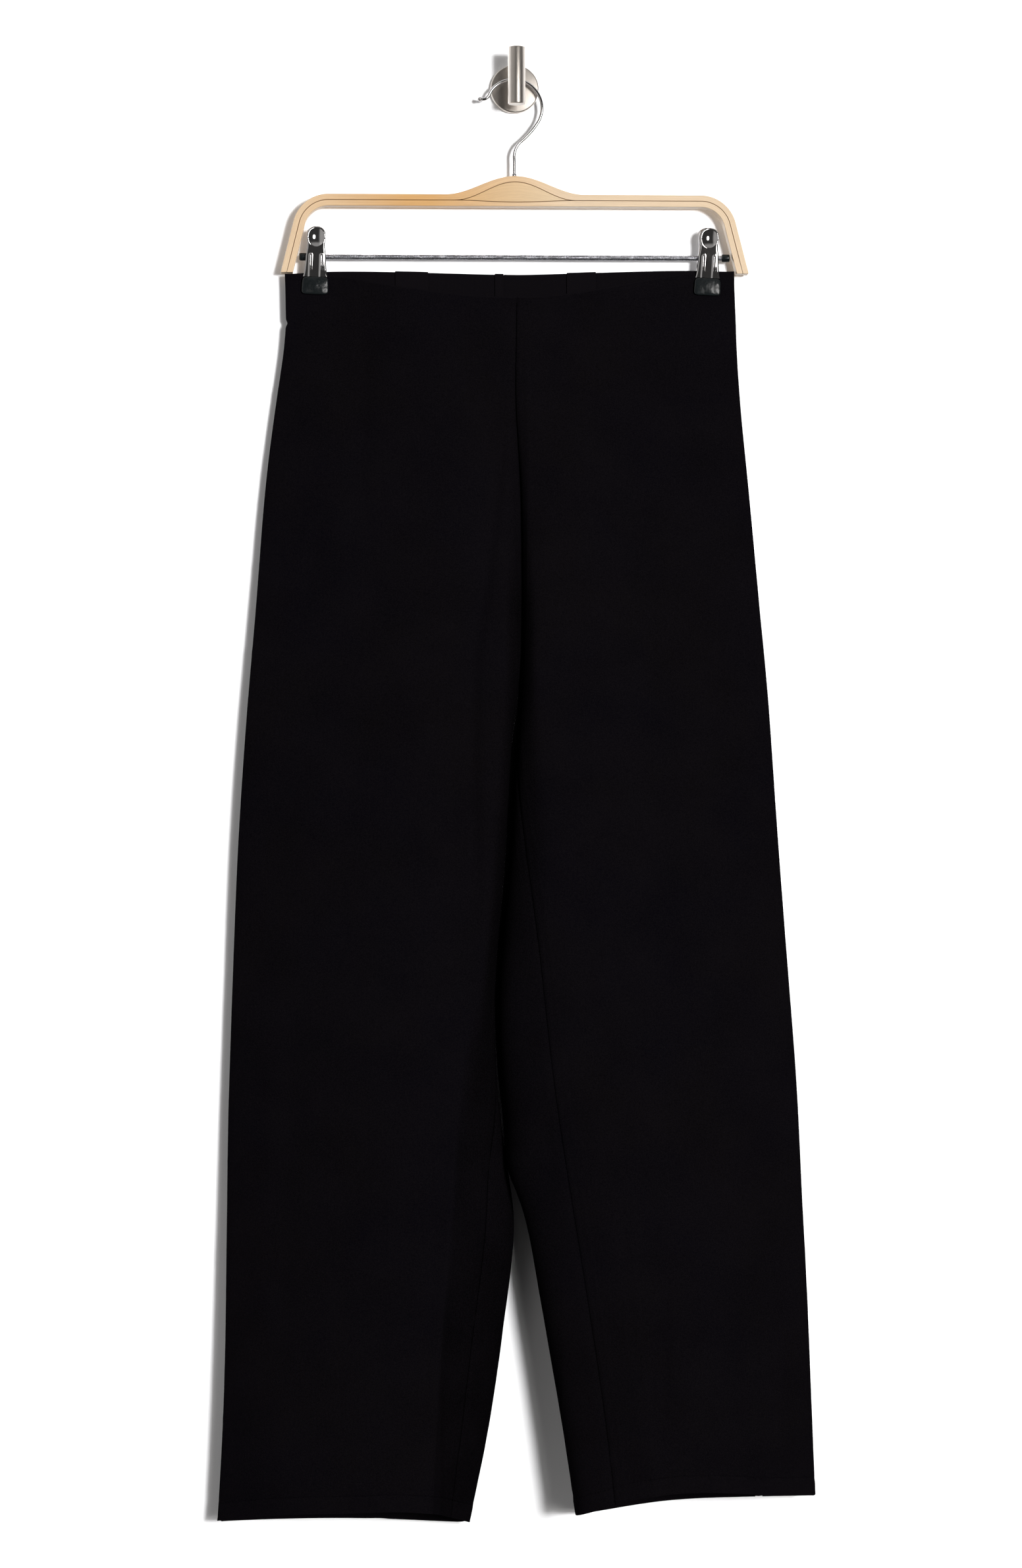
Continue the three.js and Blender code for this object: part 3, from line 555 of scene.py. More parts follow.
def lay_out_cut(obj):
    """Unwraps the sheet as its flat cut, in metres, with its length along V."""
    edit_all(obj)
    bpy.ops.uv.unwrap(method="ANGLE_BASED", margin=0)
    stop_editing()
    mesh = obj.data
    layer = mesh.uv_layers.active
    layer.name = "cut"
    flat = np.zeros(len(layer.data) * 2)
    layer.data.foreach_get("uv", flat)
    flat = flat.reshape(-1, 2)
    corners = np.zeros(len(mesh.loops), int)
    mesh.loops.foreach_get("vertex_index", corners)
    heights = points_of(mesh)[corners, 2]
    slope = np.linalg.lstsq(np.c_[flat, np.ones(len(flat))], heights, rcond=None)[0][:2]
    up = slope / np.linalg.norm(slope)
    turned = np.c_[flat @ np.array([up[1], -up[0]]), flat @ up]
    area = sum(
        0.5 * abs(sum(
            turned[a][0] * turned[b][1] - turned[b][0] * turned[a][1]
            for a, b in zip(face.loop_indices, [*face.loop_indices][1:] + [face.loop_indices[0]])
        ))
        for face in mesh.polygons
    )
    turned *= math.sqrt(sum(face.area for face in mesh.polygons) / area)
    turned -= turned.min(axis=0)
    layer.data.foreach_set("uv", turned.ravel())


def border_points(mesh):
    """The sheet's border, sorted into side seam, other seams, waist and hem."""
    shape = bmesh.new()
    shape.from_mesh(mesh)
    kinds = {"side": [], "seam": [], "waist": [], "hem": []}
    for edge in shape.edges:
        if not edge.is_boundary:
            continue
        first, second = (v.co for v in edge.verts)
        middle = (first + second) / 2
        run = (second - first).normalized()
        if abs(run.z) > 0.6:
            kind = "side" if abs(middle.x) > 0.15 and middle.z > -1.2 else "seam"
        else:
            kind = "waist" if middle.z > -0.5 else "hem"
        kinds[kind] += [middle.copy(), first.copy()]
    shape.free()
    return kinds


def tree_of(points):
    tree = KDTree(len(points))
    for i, point in enumerate(points):
        tree.insert(point, i)
    tree.balance()
    return tree


def distances(points, targets):
    """How far each point is from the nearest target."""
    if not targets:
        return np.full(len(points), 1.0)
    tree = tree_of(targets)
    return np.array([tree.find(point)[2] for point in points])


def lift_of_fold(x, height, fold):
    """How far one fold lifts each point, along a path of x, height, half width and lift."""
    nearest = np.full(len(x), 1e9)
    half_width = np.ones(len(x))
    lift = np.zeros(len(x))
    edge, path = fold
    rows = np.array(path, float) * MM
    for first, second in zip(rows, rows[1:]):
        run = second[:2] - first[:2]
        share = np.clip(((x - first[0]) * run[0] + (height - first[1]) * run[1]) / (run @ run), 0, 1)
        apart = np.hypot(x - first[0] - share * run[0], height - first[1] - share * run[1])
        closer = apart < nearest
        nearest = np.where(closer, apart, nearest)
        half_width = np.where(closer, first[2] + share * (second[2] - first[2]), half_width)
        lift = np.where(closer, first[3] + share * (second[3] - first[3]), lift)
    across = np.clip(nearest / half_width, 0, 1)
    if edge == "crisp":
        return lift * (1 - across) ** 1.6
    return lift * np.cos(across * math.pi / 2) ** 2


def store(mesh, name, values):
    attribute = mesh.attributes.new(name, "FLOAT", "POINT")
    attribute.data.foreach_set("value", values.astype(np.float32))


def below(height, change):
    """0 above a change of height and 1 below it."""
    start, run = (value * MM for value in change)
    return np.clip((start - height) / run, 0, 1)


def bell(value, middle, width):
    return np.exp(-(((value - middle) / width) ** 2))


def shape_cloth(obj):
    """Presses folds, seam grooves, the hem's turn and slow waves into a sheet."""
    settings = bpy.context.scene.pants_knit
    mesh = obj.data
    points, normals = points_of(mesh), points_of(mesh, "normal")
    borders = border_points(mesh)
    near = {kind: distances(points, targets) for kind, targets in borders.items()}
    x, height = points[:, 0], points[:, 2]
    lift = np.zeros(len(points))
    for folds, facing in ((FRONT_FOLDS, -normals[:, 1]), (BACK_FOLDS, normals[:, 1])):
        seen = np.clip(facing * 1.6, 0, 1)
        for fold in folds:
            lift += seen * lift_of_fold(x, height, fold)
    free = below(height, FREE_OF_CLIPS)
    waves = np.array([
        noise.noise(Vector((p[0] * 14, p[1] * 14, p[2] * 5))) + 0.4 * noise.noise(Vector(p) * 42) for p in points
    ])
    lift += settings.unevenness * waves * free
    lift -= 0.5 * MM * np.clip(1 - near["side"] / (SEAM_WIDTH * MM), 0, 1) ** 2
    lift -= settings.seam_groove * np.clip(1 - near["seam"] / (SEAM_WIDTH * MM), 0, 1) ** 1.5
    lift += 0.22 * MM * bell(near["seam"], ALLOWANCE * MM, 1.8 * MM) * free
    lift += 0.35 * MM * np.clip((settings.hem + 1 * MM - near["hem"]) / (2.5 * MM), 0, 1)
    lift -= 0.3 * MM * bell(near["hem"], settings.hem, HEM_LINE * MM)
    points += normals * lift[:, None]
    rows = np.array(SIDE_FULLNESS, float) * MM
    left, right = (np.interp(-height, -rows[:, 0], rows[:, i]) for i in (1, 2))
    share = np.clip(1 - near["side"] / (30 * MM), 0, 1)
    middle, run, depth = (value * MM for value in NICK)
    nick = depth * bell(height, middle, run) * (near["side"] < 8 * MM)
    points[:, 0] += share**2 * (3 - 2 * share) * np.where(x < 0, nick - left, right)
    if obj.name == "back_right_cloth":
        middle, run, depth = (value * MM for value in INNER_TUCK)
        tucked = np.clip((25 * MM - x) / (20 * MM), 0, 1)
        points[:, 0] -= depth * tucked * bell(height, middle, run)
    set_points(mesh, points)
    store(mesh, "above_hem", near["hem"])
    store(mesh, "from_seam", np.minimum(near["seam"], near["side"]))
    store(mesh, "from_waist", near["waist"])
    # Marks the inner faces between the legs, which the knit darkens as painted shade for the other leg's shadow.
    inner_face_shade_mask = np.clip(np.abs(normals[:, 0]) * 2 - 0.6, 0, 1) * (np.abs(x + 15 * MM) < 50 * MM)
    store(mesh, "between_legs", inner_face_shade_mask * below(height, LEGS_PART))


def turn_up_hem(obj):
    """Turns the cloth in at the hem and up inside the leg."""
    depth = bpy.context.scene.pants_knit.hem
    mesh = bmesh.new()
    mesh.from_mesh(obj.data)
    above = mesh.verts.layers.float.get("above_hem")
    hem = [e for e in mesh.edges if e.is_boundary and all(v[above] < 0.5 * MM for v in e.verts)
           and abs((e.verts[0].co - e.verts[1].co).normalized().z) < 0.7]
    inside = {v: -v.normal * 3.0 * MM for e in hem for v in e.verts}
    turned = extrude_by(mesh, hem, inside)
    up = {v: Vector((0, 0, depth)) for v in turned["verts"]}
    extrude_by(mesh, turned["edges"], up)
    mesh.to_mesh(obj.data)
    mesh.free()


def extrude_by(mesh, edges, moves):
    made = bmesh.ops.extrude_edge_only(mesh, edges=edges)["geom"]
    verts = [g for g in made if isinstance(g, bmesh.types.BMVert)]
    new_edges = [g for g in made if isinstance(g, bmesh.types.BMEdge)]
    sources = list(moves)
    tree = tree_of([source.co for source in sources])
    steps = [moves[sources[tree.find(v.co)[1]]].copy() for v in verts]
    for v, step in zip(verts, steps):
        v.co += step
    return {"verts": verts, "edges": [e for e in new_edges if all(v in set(verts) for v in e.verts)]}


def fine_sheet(node, showing):
    """The face of a cloth node that shows, laid out as its cut and then subdivided."""
    obj = copy_node(node, f"{node}_cloth")
    keep_showing_side(obj, showing)
    lay_out_cut(obj)
    apply_modifier(obj, "SUBSURF", levels=3, render_levels=3, boundary_smooth="PRESERVE_CORNERS")
    return obj


class PANTS_OT_cloth_panels(bpy.types.Operator):
    """Makes the four leg panels as cloth, with folds, seams and turned hems"""

    bl_idname = "pants.cloth_panels"
    bl_label = "Cloth Panels"

    def execute(self, context):
        settings = context.scene.pants_knit
        for node, showing, flat, area in PANELS:
            obj = fine_sheet(node, showing)
            shape_cloth(obj)
            turn_up_hem(obj)
            apply_modifier(obj, "SOLIDIFY", thickness=settings.thickness, offset=-1)
            smooth(obj, 50)
            hand_over(obj, "knit", node)
        return {"FINISHED"}


class PANTS_OT_waist_facing(bpy.types.Operator):
    """Makes the facing inside the back waist and the three raised strips on it"""

    bl_idname = "pants.waist_facing"
    bl_label = "Waist Facing"

    def execute(self, context):
        strips = [self.layer(node, 1.0) for node in ("dart_left", "centre_back_allowance", "dart_right")]
        facing = self.layer("back_waist_facing", 0.7)
        return {"FINISHED"}

    def layer(self, node, brightness):
        obj = fine_sheet(node, FRONT)
        mesh = obj.data
        for name in ("above_hem", "from_seam", "from_waist"):
            store(mesh, name, np.ones(len(mesh.vertices)))
        store(mesh, "inside", np.full(len(mesh.vertices), brightness))
        apply_modifier(obj, "SOLIDIFY", thickness=0.95 * MM, offset=-1)
        apply_modifier(obj, "BEVEL", width=0.3 * MM, segments=2, limit_method="ANGLE", angle_limit=math.radians(60))
        smooth(obj, 50)
        hand_over(obj, "knit", node)
        return obj


# The hanger's wood: its top and tips, its depth, one layer and the slip between two, the shoulder's centre and
# outer radius, the hump, and the insert's lens shape.
WOOD_TOP, WOOD_TIP, WOOD_DEPTH = -91, -156, 12
LAYER, SLIP = 4.75, 0.3
SHOULDER, SHOULDER_RADIUS, ARM_LEAN = (-154.4, -121), 30, math.radians(14.3)
HUMP_RISE, HUMP_HALF = 15.3, 58
LENS_HALF, LENS_TIP, LENS_BELLY = 50, 44, 1.5
SHARP_CORNER = math.radians(50)


def hanger_line(inset, rise, half_width):
    """The hanger's edge at a distance inside its outer edge, from the left tip to the right tip."""
    radius = SHOULDER_RADIUS - inset
    angles = np.linspace(math.pi - ARM_LEAN, math.pi / 2, 25)
    shoulder = [(SHOULDER[0] + radius * math.cos(a), SHOULDER[1] + radius * math.sin(a)) for a in angles]
    (start_x, start_z), slope = shoulder[0], math.tan(ARM_LEAN)
    fall = start_z - WOOD_TIP
    arm = [(start_x - fall * share * slope, start_z - fall * share) for share in (1, 0.66, 0.33)]
    across = np.linspace(-half_width, 0, 33)
    hump = [(x, WOOD_TOP - inset + rise * 0.5 * (1 + math.cos(math.pi * x / half_width))) for x in across]
    half = arm + shoulder + [(-100, WOOD_TOP - inset)] + hump
    return np.array(half + [(-x, z) for x, z in reversed(half[:-1])])


def finer(line, parts=12):
    """The points of a line, with more between them where they lie far apart."""
    line = np.array(line)
    shares = np.linspace(0, 1, parts, endpoint=False)[:, None]
    return np.vstack([first + shares * (second - first) for first, second in zip(line, line[1:])] + [line[-1:]])


def round_strip(obj, joints):
    """Rounds the strip's long edges, and breaks those on a glued joint only a little."""
    mesh = obj.data
    points = points_of(mesh)
    near = distances(points, joints) < 0.05 * MM
    weights = mesh.attributes.new("bevel_weight_edge", "FLOAT", "EDGE")
    shape = bmesh.new()
    shape.from_mesh(mesh)
    for edge in shape.edges:
        first, second = edge.verts
        sharp = edge.calc_face_angle(0) > SHARP_CORNER
        joint = near[first.index] and near[second.index]
        weights.data[edge.index].value = 0 if not sharp else 0.2 if joint else 1
    shape.free()
    apply_modifier(obj, "BEVEL", width=bpy.context.scene.pants_hanger.edge, segments=3, limit_method="WEIGHT")


def wood_strip(name, slot, node, top, under, joints):
    """A strip of wood between two lines, grown from a grid and rounded along its edges."""
    count = len(top)
    bpy.ops.mesh.primitive_grid_add(x_subdivisions=count - 1, y_subdivisions=6, size=1)
    obj = take_primitive(name)
    points = points_of(obj.data)
    place = np.rint((points[:, 0] - points[:, 0].min()) * (count - 1)).astype(int)
    share = points[:, 1:2] + 0.5
    lines = (share * np.array(top)[place] + (1 - share) * np.array(under)[place]) * MM
    half = WOOD_DEPTH // 2
    set_points(obj.data, np.c_[lines[:, 0], np.full(len(points), -half * MM), lines[:, 1]])
    edit_all(obj)
    bpy.ops.mesh.extrude_region_move(TRANSFORM_OT_translate={"value": (0, WOOD_DEPTH * MM, 0)})
    stop_editing()
    face_outwards(obj)
    glued = [Vector((x, y, z)) * MM for line in joints for x, z in line for y in (-half, half)]
    round_strip(obj, glued)
    depths = range(-half, half + 1)
    along = [Vector((x, y, z)) * MM for line in joints for x, z in finer(line) for y in depths]
    store(obj.data, "from_joint", distances(points_of(obj.data), along))
    store_grain(obj, (np.array(top) + np.array(under)) * 0.5 * MM)
    smooth(obj, 40)
    apply_modifier(obj, "WEIGHTED_NORMAL", keep_sharp=True)
    fix_place(obj, HANGER_PLACE)
    hand_over(obj, slot, node)
    return obj


def store_grain(obj, line):
    """Stores how far along the bent strip, across it and through it each point lies."""
    points = points_of(obj.data)
    steps = np.linalg.norm(np.diff(line, axis=0), axis=1)
    start = np.r_[0, np.cumsum(steps)]
    best = np.full(len(points), 1e9)
    grain = np.zeros((len(points), 3))
    grain[:, 2] = points[:, 1]
    flat = points[:, [0, 2]]
    for i, step in enumerate(steps):
        if step < 1e-7:
            continue
        run = (line[i + 1] - line[i]) / step
        off = flat - line[i]
        along = np.clip(off @ run, 0, step)
        across = off[:, 0] * run[1] - off[:, 1] * run[0]
        apart = np.linalg.norm(off - along[:, None] * run, axis=1)
        closer = apart < best
        best = np.where(closer, apart, best)
        grain[closer, 0] = (start[i] + along)[closer]
        grain[closer, 1] = across[closer]
    attribute = obj.data.attributes.new("grain", "FLOAT_VECTOR", "POINT")
    attribute.data.foreach_set("vector", grain.ravel().astype(np.float32))


class PANTS_OT_wood_hanger(bpy.types.Operator):
    """Makes the two bent layers of the hanger and the darker insert between them"""

    bl_idname = "pants.wood_hanger"
    bl_label = "Wood Hanger"

    def execute(self, context):
        outer = hanger_line(0, HUMP_RISE, HUMP_HALF), hanger_line(LAYER, HUMP_RISE, LENS_HALF)
        inner = hanger_line(LAYER + SLIP, -LENS_BELLY, LENS_HALF), hanger_line(2 * LAYER + SLIP, 0, LENS_HALF)
        x = np.linspace(-LENS_TIP, LENS_TIP, 45)
        swell = 0.5 * (1 + np.cos(np.pi * x / LENS_HALF))
        middle = WOOD_TOP - LAYER - SLIP
        insert = np.c_[x, middle + HUMP_RISE * swell], np.c_[x, middle + SLIP - LENS_BELLY * swell]
        wood_strip("outer_layer", "light_wood", "hanger_outer_layer", *outer, [outer[1]])
        wood_strip("inner_layer", "light_wood", "hanger_inner_layer", *inner, [inner[0]])
        wood_strip("insert", "insert_wood", "hanger_insert", *insert, insert)
        return {"FINISHED"}


def round_wire(name, path, radius):
    """A round wire along a smooth curve through the points of a path, in millimetres."""
    curve = bpy.data.curves.new(name, "CURVE")
    curve.dimensions = "3D"
    curve.bevel_depth = radius
    curve.bevel_resolution = 5
    curve.resolution_u = 6
    curve.use_fill_caps = True
    spline = curve.splines.new("BEZIER")
    spline.bezier_points.add(len(path) - 1)
    for point, place in zip(spline.bezier_points, path):
        point.co = Vector(place) * MM
        point.handle_left_type = point.handle_right_type = "AUTO"
    obj = bpy.data.objects.new(name, curve)
    bpy.context.scene.collection.objects.link(obj)
    make_active(obj)
    bpy.ops.object.convert(target="MESH")
    obj = bpy.context.object
    face_outwards(obj)
    return obj


# How a turned piece stands.
UPRIGHT, TOWARDS_WALL, ALONG_BAR = (0, 0, 0), (math.pi / 2, 0, 0), (0, math.pi / 2, 0)


def turned_piece(name, slot, node, measures, sides, steps, matrix=None):
    """A cylinder with rounded rims, by its radius, length, middle, turn and rounding in millimetres."""
    radius, length, middle, turn, rounding = measures
    bpy.ops.mesh.primitive_cylinder_add(
        vertices=sides, radius=radius * MM, depth=length * MM, location=Vector(middle) * MM, rotation=turn
    )
    obj = take_primitive(name)
    apply_modifier(obj, "BEVEL", width=rounding * MM, segments=steps, limit_method="ANGLE", angle_limit=SHARP_CORNER)
    fix_place(obj, matrix)
    smooth(obj)
    hand_over(obj, slot, node)


# The hook's wire in x and height: a flick at the tip, a bend between two angles, and the neck. Then the ball on its
# tip and its collar.
HOOK_FLICK = [(-26.8, -11.3), (-24.4, -11.1), (-21.8, -9)]
BEND_CENTRE, BEND_RADIUS, BEND_ANGLES = (-0.5, -18.3), 23.4, (143, -38)
HOOK_NECK = [(8.8, -43.2), (3.2, -48.4), (-0.1, -55.5), (-0.4, -64), (-0.5, -75.4)]
BALL_RADIUS, BALL_PLACE = 1.9, (-28.8, 0, -11.3)
COLLAR = (2.1, 2.4, (-0.5, 0, -74.2), UPRIGHT, 0.6)


class PANTS_OT_wire_hook(bpy.types.Operator):
    """Makes the hanger's wire hook with its ball tip and its collar"""

    bl_idname = "pants.wire_hook"
    bl_label = "Wire Hook"

    def execute(self, context):
        radius = context.scene.pants_hanger.wire
        centre_x, centre_z = BEND_CENTRE
        bend = [(centre_x + BEND_RADIUS * math.cos(a), centre_z + BEND_RADIUS * math.sin(a))
                for a in np.radians(np.linspace(*BEND_ANGLES, 10))]
        path = [(x, 0, z) for x, z in HOOK_FLICK + bend + HOOK_NECK]
        hook = round_wire("hook_wire", path, radius)
        smooth(hook, 50)
        fix_place(hook, HANGER_PLACE)
        hand_over(hook, "chrome", "hanger_hook")

        bpy.ops.mesh.primitive_uv_sphere_add(
            segments=32, ring_count=20, radius=BALL_RADIUS * MM, location=Vector(BALL_PLACE) * MM
        )
        ball = take_primitive("tip_ball")
        fix_place(ball, HANGER_PLACE)
        smooth(ball, 60)
        hand_over(ball, "chrome", "hook_tip_ball")

        turned_piece("collar", "chrome", "hook_collar", COLLAR, 40, 3, HANGER_PLACE)
        return {"FINISHED"}


# The bar and its caps: name, slot, node, and the measures of a turned piece.
RODS = [
    ("bar", "bar_steel", "clip_bar", (2, 357.6, (0, 0, BAR_HEIGHT), ALONG_BAR, 0.4)),
    ("cap_left", "black_rubber", "bar_cap_left", (3.2, 6.6, (-175.5, 0, BAR_HEIGHT), ALONG_BAR, 0.9)),
    ("cap_right", "black_rubber", "bar_cap_right", (3.2, 6.6, (175.5, 0, BAR_HEIGHT), ALONG_BAR, 0.9)),
]


class PANTS_OT_clip_bar(bpy.types.Operator):
    """Makes the steel bar and its two end caps"""

    bl_idname = "pants.clip_bar"
    bl_label = "Clip Bar"

    def execute(self, context):
        for rod in RODS:
            turned_piece(*rod, 32, 3, HANGER_PLACE)
        return {"FINISHED"}


# A clip's jaw as rows of rise above the bar, half width, and distance out from the cloth's middle.
JAW_ROWS = [
    (24.0, 0.9, 8.0), (23.8, 2.4, 8.1), (23.2, 4.2, 8.3), (22.0, 5.7, 8.5), (20.2, 6.9, 8.6), (18.0, 7.5, 8.6),
    (15.5, 7.6, 8.6), (12.6, 7.3, 8.4), (9.6, 7.1, 8.0), (6.5, 7.2, 7.6), (3.5, 7.7, 7.3), (0.0, 8.2, 7.0),
    (-4.0, 8.4, 6.6), (-8.0, 8.7, 6.1), (-12.0, 9.1, 5.5), (-15.0, 9.6, 4.9), (-17.0, 10.2, 4.5),
]
JAW_COLUMNS, JAW_STEPS = 28, 72
LEVER_RISE, JAW_LENGTH = 24.0, 41.0

# The lever's dish, with the height of its middle, and the ribs, with their places across.
DISH_DEPTH, DISH_RISE, DISH_HALF_WIDTH, DISH_HALF_HEIGHT = 2.3, 15.2, 6.9, 7.8
RIB_PLACES, RIB_HALF_WIDTH, RIB_HEIGHT = (-4.6, 4.3), 1.5, 0.9

# Each clip's place along the bar and its lean. Then, for each jaw, which way it faces and how much longer its
# lever is.
CLIPS = [("left", -165.1, 1.8), ("right", 160.7, 2.5)]
JAWS = [("front", 1, 0), ("back", -1, 2.5)]


def make_jaw(name, front, lever_extra):
    """One pressed steel jaw: a dished lever, a waist and two ribs that run down to the pad."""
    bpy.ops.mesh.primitive_grid_add(x_subdivisions=JAW_COLUMNS, y_subdivisions=JAW_STEPS, size=1)
    obj = take_primitive(name)
    points = points_of(obj.data)
    across = points[:, 0] * 2
    share = 0.5 - points[:, 1]
    rows = np.array(JAW_ROWS)
    rise = LEVER_RISE - JAW_LENGTH * share**1.25
    half_width, out = (np.interp(-rise, -rows[:, 0], rows[:, i]) for i in (1, 2))
    x = across * half_width
    bowl = (x / DISH_HALF_WIDTH) ** 2 + ((rise - DISH_RISE) / DISH_HALF_HEIGHT) ** 2
    dish = DISH_DEPTH * np.clip(1 - bowl, 0, 1)
    ribs = sum(
        np.cos(np.clip(np.abs(x - place) / RIB_HALF_WIDTH, 0, 1) * math.pi / 2) ** 1.3 for place in RIB_PLACES
    ) * RIB_HEIGHT * np.clip((2.0 - rise) / 1.6, 0, 1) ** 0.5
    rolled = 0.5 * np.clip((np.abs(across) - 0.86) / 0.14, 0, 1) ** 2
    stretch = 1 + lever_extra * np.clip(rise / LEVER_RISE, 0, 1) / LEVER_RISE
    y = -front * (out - dish + ribs - rolled) * MM
    set_points(obj.data, np.c_[x * MM, y, rise * stretch * MM])
    edit_all(obj)
    bpy.ops.mesh.normals_make_consistent(inside=False)
    stop_editing()
    if sum(f.normal.y * front for f in obj.data.polygons) > 0:
        edit_all(obj)
        bpy.ops.mesh.flip_normals()
        stop_editing()
    apply_modifier(obj, "SOLIDIFY", thickness=0.9 * MM, offset=-1)
    smooth(obj, 50)
    return obj


# The pad's top below the bar, its size and how far its middle is out from the cloth's middle.
PAD_TOP, PAD_WIDTH, PAD_HEIGHT, PAD_DEPTH, PAD_OUT = -17.2, 22.4, 14.3, 2.8, 4.05


def make_pad(name, front):
    """A dipped rubber pad: a block drawn in to a soft sleeve, fuller at its middle and narrower at its top."""
    middle = PAD_TOP - PAD_HEIGHT / 2
    bpy.ops.mesh.primitive_cube_add(size=2)
    obj = take_primitive(name)
    edit_all(obj)
    bpy.ops.mesh.subdivide(number_cuts=17)
    stop_editing()
    points = points_of(obj.data)
    x, y, z = (points / ((np.abs(points) ** 6).sum(axis=1, keepdims=True) ** (1 / 6))).T
    outer = np.clip(-front * y, 0, 1)
    narrowing = 1 - 0.03 * (z + 1)
    fuller = 0.5 * outer * (1 - x**2) * (1 - z**2)
    notch = 0.3 * outer * bell(x, 0, 0.2) * (z < 0) * z**2
    out = PAD_OUT + fuller - notch
    places = x * PAD_WIDTH / 2 * narrowing, y * PAD_DEPTH / 2 - front * out, z * PAD_HEIGHT / 2 + middle
    set_points(obj.data, np.stack(places, axis=1) * MM)
    smooth(obj, 60)
    return obj


# The spring's turns, and its coil's radius, its width and its wire's radius.
SPRING_TURNS, SPRING_RADIUS, SPRING_WIDTH, SPRING_WIRE = 7, 4.0, 9.0, 0.65
STEPS_PER_TURN = 16


def make_spring(name):
    """A wound spring round the bar."""
    steps = SPRING_TURNS * STEPS_PER_TURN
    path = []
    for i in range(steps + 1):
        angle = 2 * math.pi * i / STEPS_PER_TURN
        across = (i / steps - 0.5) * SPRING_WIDTH
        path.append((across, SPRING_RADIUS * math.cos(angle), SPRING_RADIUS * math.sin(angle)))
    return round_wire(name, path, SPRING_WIRE * MM)


class PANTS_OT_clips(bpy.types.Operator):
    """Makes the two spring clips with their rubber pads"""

    bl_idname = "pants.clips"
    bl_label = "Clips"

    def execute(self, context):
        for side, x, lean in CLIPS:
            place = (
                HANGER_PLACE
                @ Matrix.Translation((x * MM, 0, BAR_HEIGHT * MM))
                @ Matrix.Rotation(math.radians(lean), 4, "Y")
            )
            for face, front, extra in JAWS:
                jaw = make_jaw(f"{side}_{face}_jaw", front, extra)
                fix_place(jaw, place)
                hand_over(jaw, "chrome", f"clip_{side}_{face}_jaw")
                pad = make_pad(f"{side}_{face}_pad", front)
                fix_place(pad, place)
                hand_over(pad, "black_rubber", f"clip_{side}_{face}_pad")
            spring = make_spring(f"{side}_spring")
            smooth(spring, 60)
            fix_place(spring, place)
            hand_over(spring, "bar_steel", f"clip_{side}_spring")
        return {"FINISHED"}


# The wall hook's pieces, by name.
WALL_HOOK = {
    "rosette": (20, 5.5, (0, -2.75, 0), TOWARDS_WALL, 1.2),
    "stem": (4.4, 16.8, (0, -14.2, 0), TOWARDS_WALL, 0.2),
    "post": (7.1, 47.1, (0, -30, 6.15), UPRIGHT, 0.8),
}


class PANTS_OT_wall_hook(bpy.types.Operator):
    """Makes the wall hook's rosette, stem and post"""

    bl_idname = "pants.wall_hook"
    bl_label = "Wall Hook"

    def execute(self, context):
        for name, measures in WALL_HOOK.items():
            turned_piece(name, "brushed_nickel", f"wall_{name}", measures, 72, 4)
        return {"FINISHED"}


def stage_plane(name, place, turn, colour):
    bpy.ops.mesh.primitive_plane_add(size=STAGE_SIZE, location=place, rotation=turn)
    obj = take_primitive(name)
    fix_place(obj)
    finish = Finish(name, Roughness=0.9, Specular_IOR_Level=0.2)
    mottle = finish.spots(3, 2)
    finish.set(Base_Color=finish.mixed(mottle, shaded(colour, 0.99), colour))
    obj.data.materials.append(finish.made)
    return obj, finish


def see_through_from_behind(finish):
    """Makes the wall clear from behind, so that the back of the pants can be seen."""
    tree = finish.tree
    output = next(n for n in tree.nodes if n.type == "OUTPUT_MATERIAL")
    behind = finish.value("ShaderNodeNewGeometry", {}, {}, "Backfacing")
    clear = finish.node("ShaderNodeBsdfTransparent", {}, {})
    mixer = finish.node("ShaderNodeMixShader", {}, {0: behind})
    for source, target in (
        (finish.shader, mixer.inputs[1]), (clear, mixer.inputs[2]), (mixer, output.inputs["Surface"])
    ):
        tree.links.new(source.outputs[0], target)


def area_light(name, place, target, size, power):
    data = bpy.data.lights.new(name, "AREA")
    data.shape = "DISK"
    data.size = size
    data.energy = power
    obj = bpy.data.objects.new(name, data)
    bpy.context.scene.collection.objects.link(obj)
    obj.location = place
    obj.rotation_euler = (Vector(target) - Vector(place)).to_track_quat("-Z", "Y").to_euler()
    return obj


# The stage, in metres. Each light: name, place, size, the setting that gives its power, and whether metal mirrors it.
STAGE_SIZE, WALL_MIDDLE, FLOOR_MIDDLE = 14, (0, 0.0005, -0.577), (0, -2, -1.36)
LIT_POINT = (0, -0.05, -0.65)
LIGHTS = [
    ("key", (2.0, -5.4, 0.0), 1.0, "key", False),
    ("fill", (-3.4, -2.6, 0.7), 2.4, "fill", False),
    ("back_left", (-1.8, 3.0, 0.4), 1.5, "back", True),
    ("back_right", (2.0, 3.2, 0.2), 1.5, "back", True),
]
CAMERA_PLACE, CAMERA_TURN, CAMERA_LENS = (-0.18691, -3.00946, -0.5775), math.radians(-3.5), 83.19
WINDOW_DIRECTION = (0.348, -0.937, 0.02)


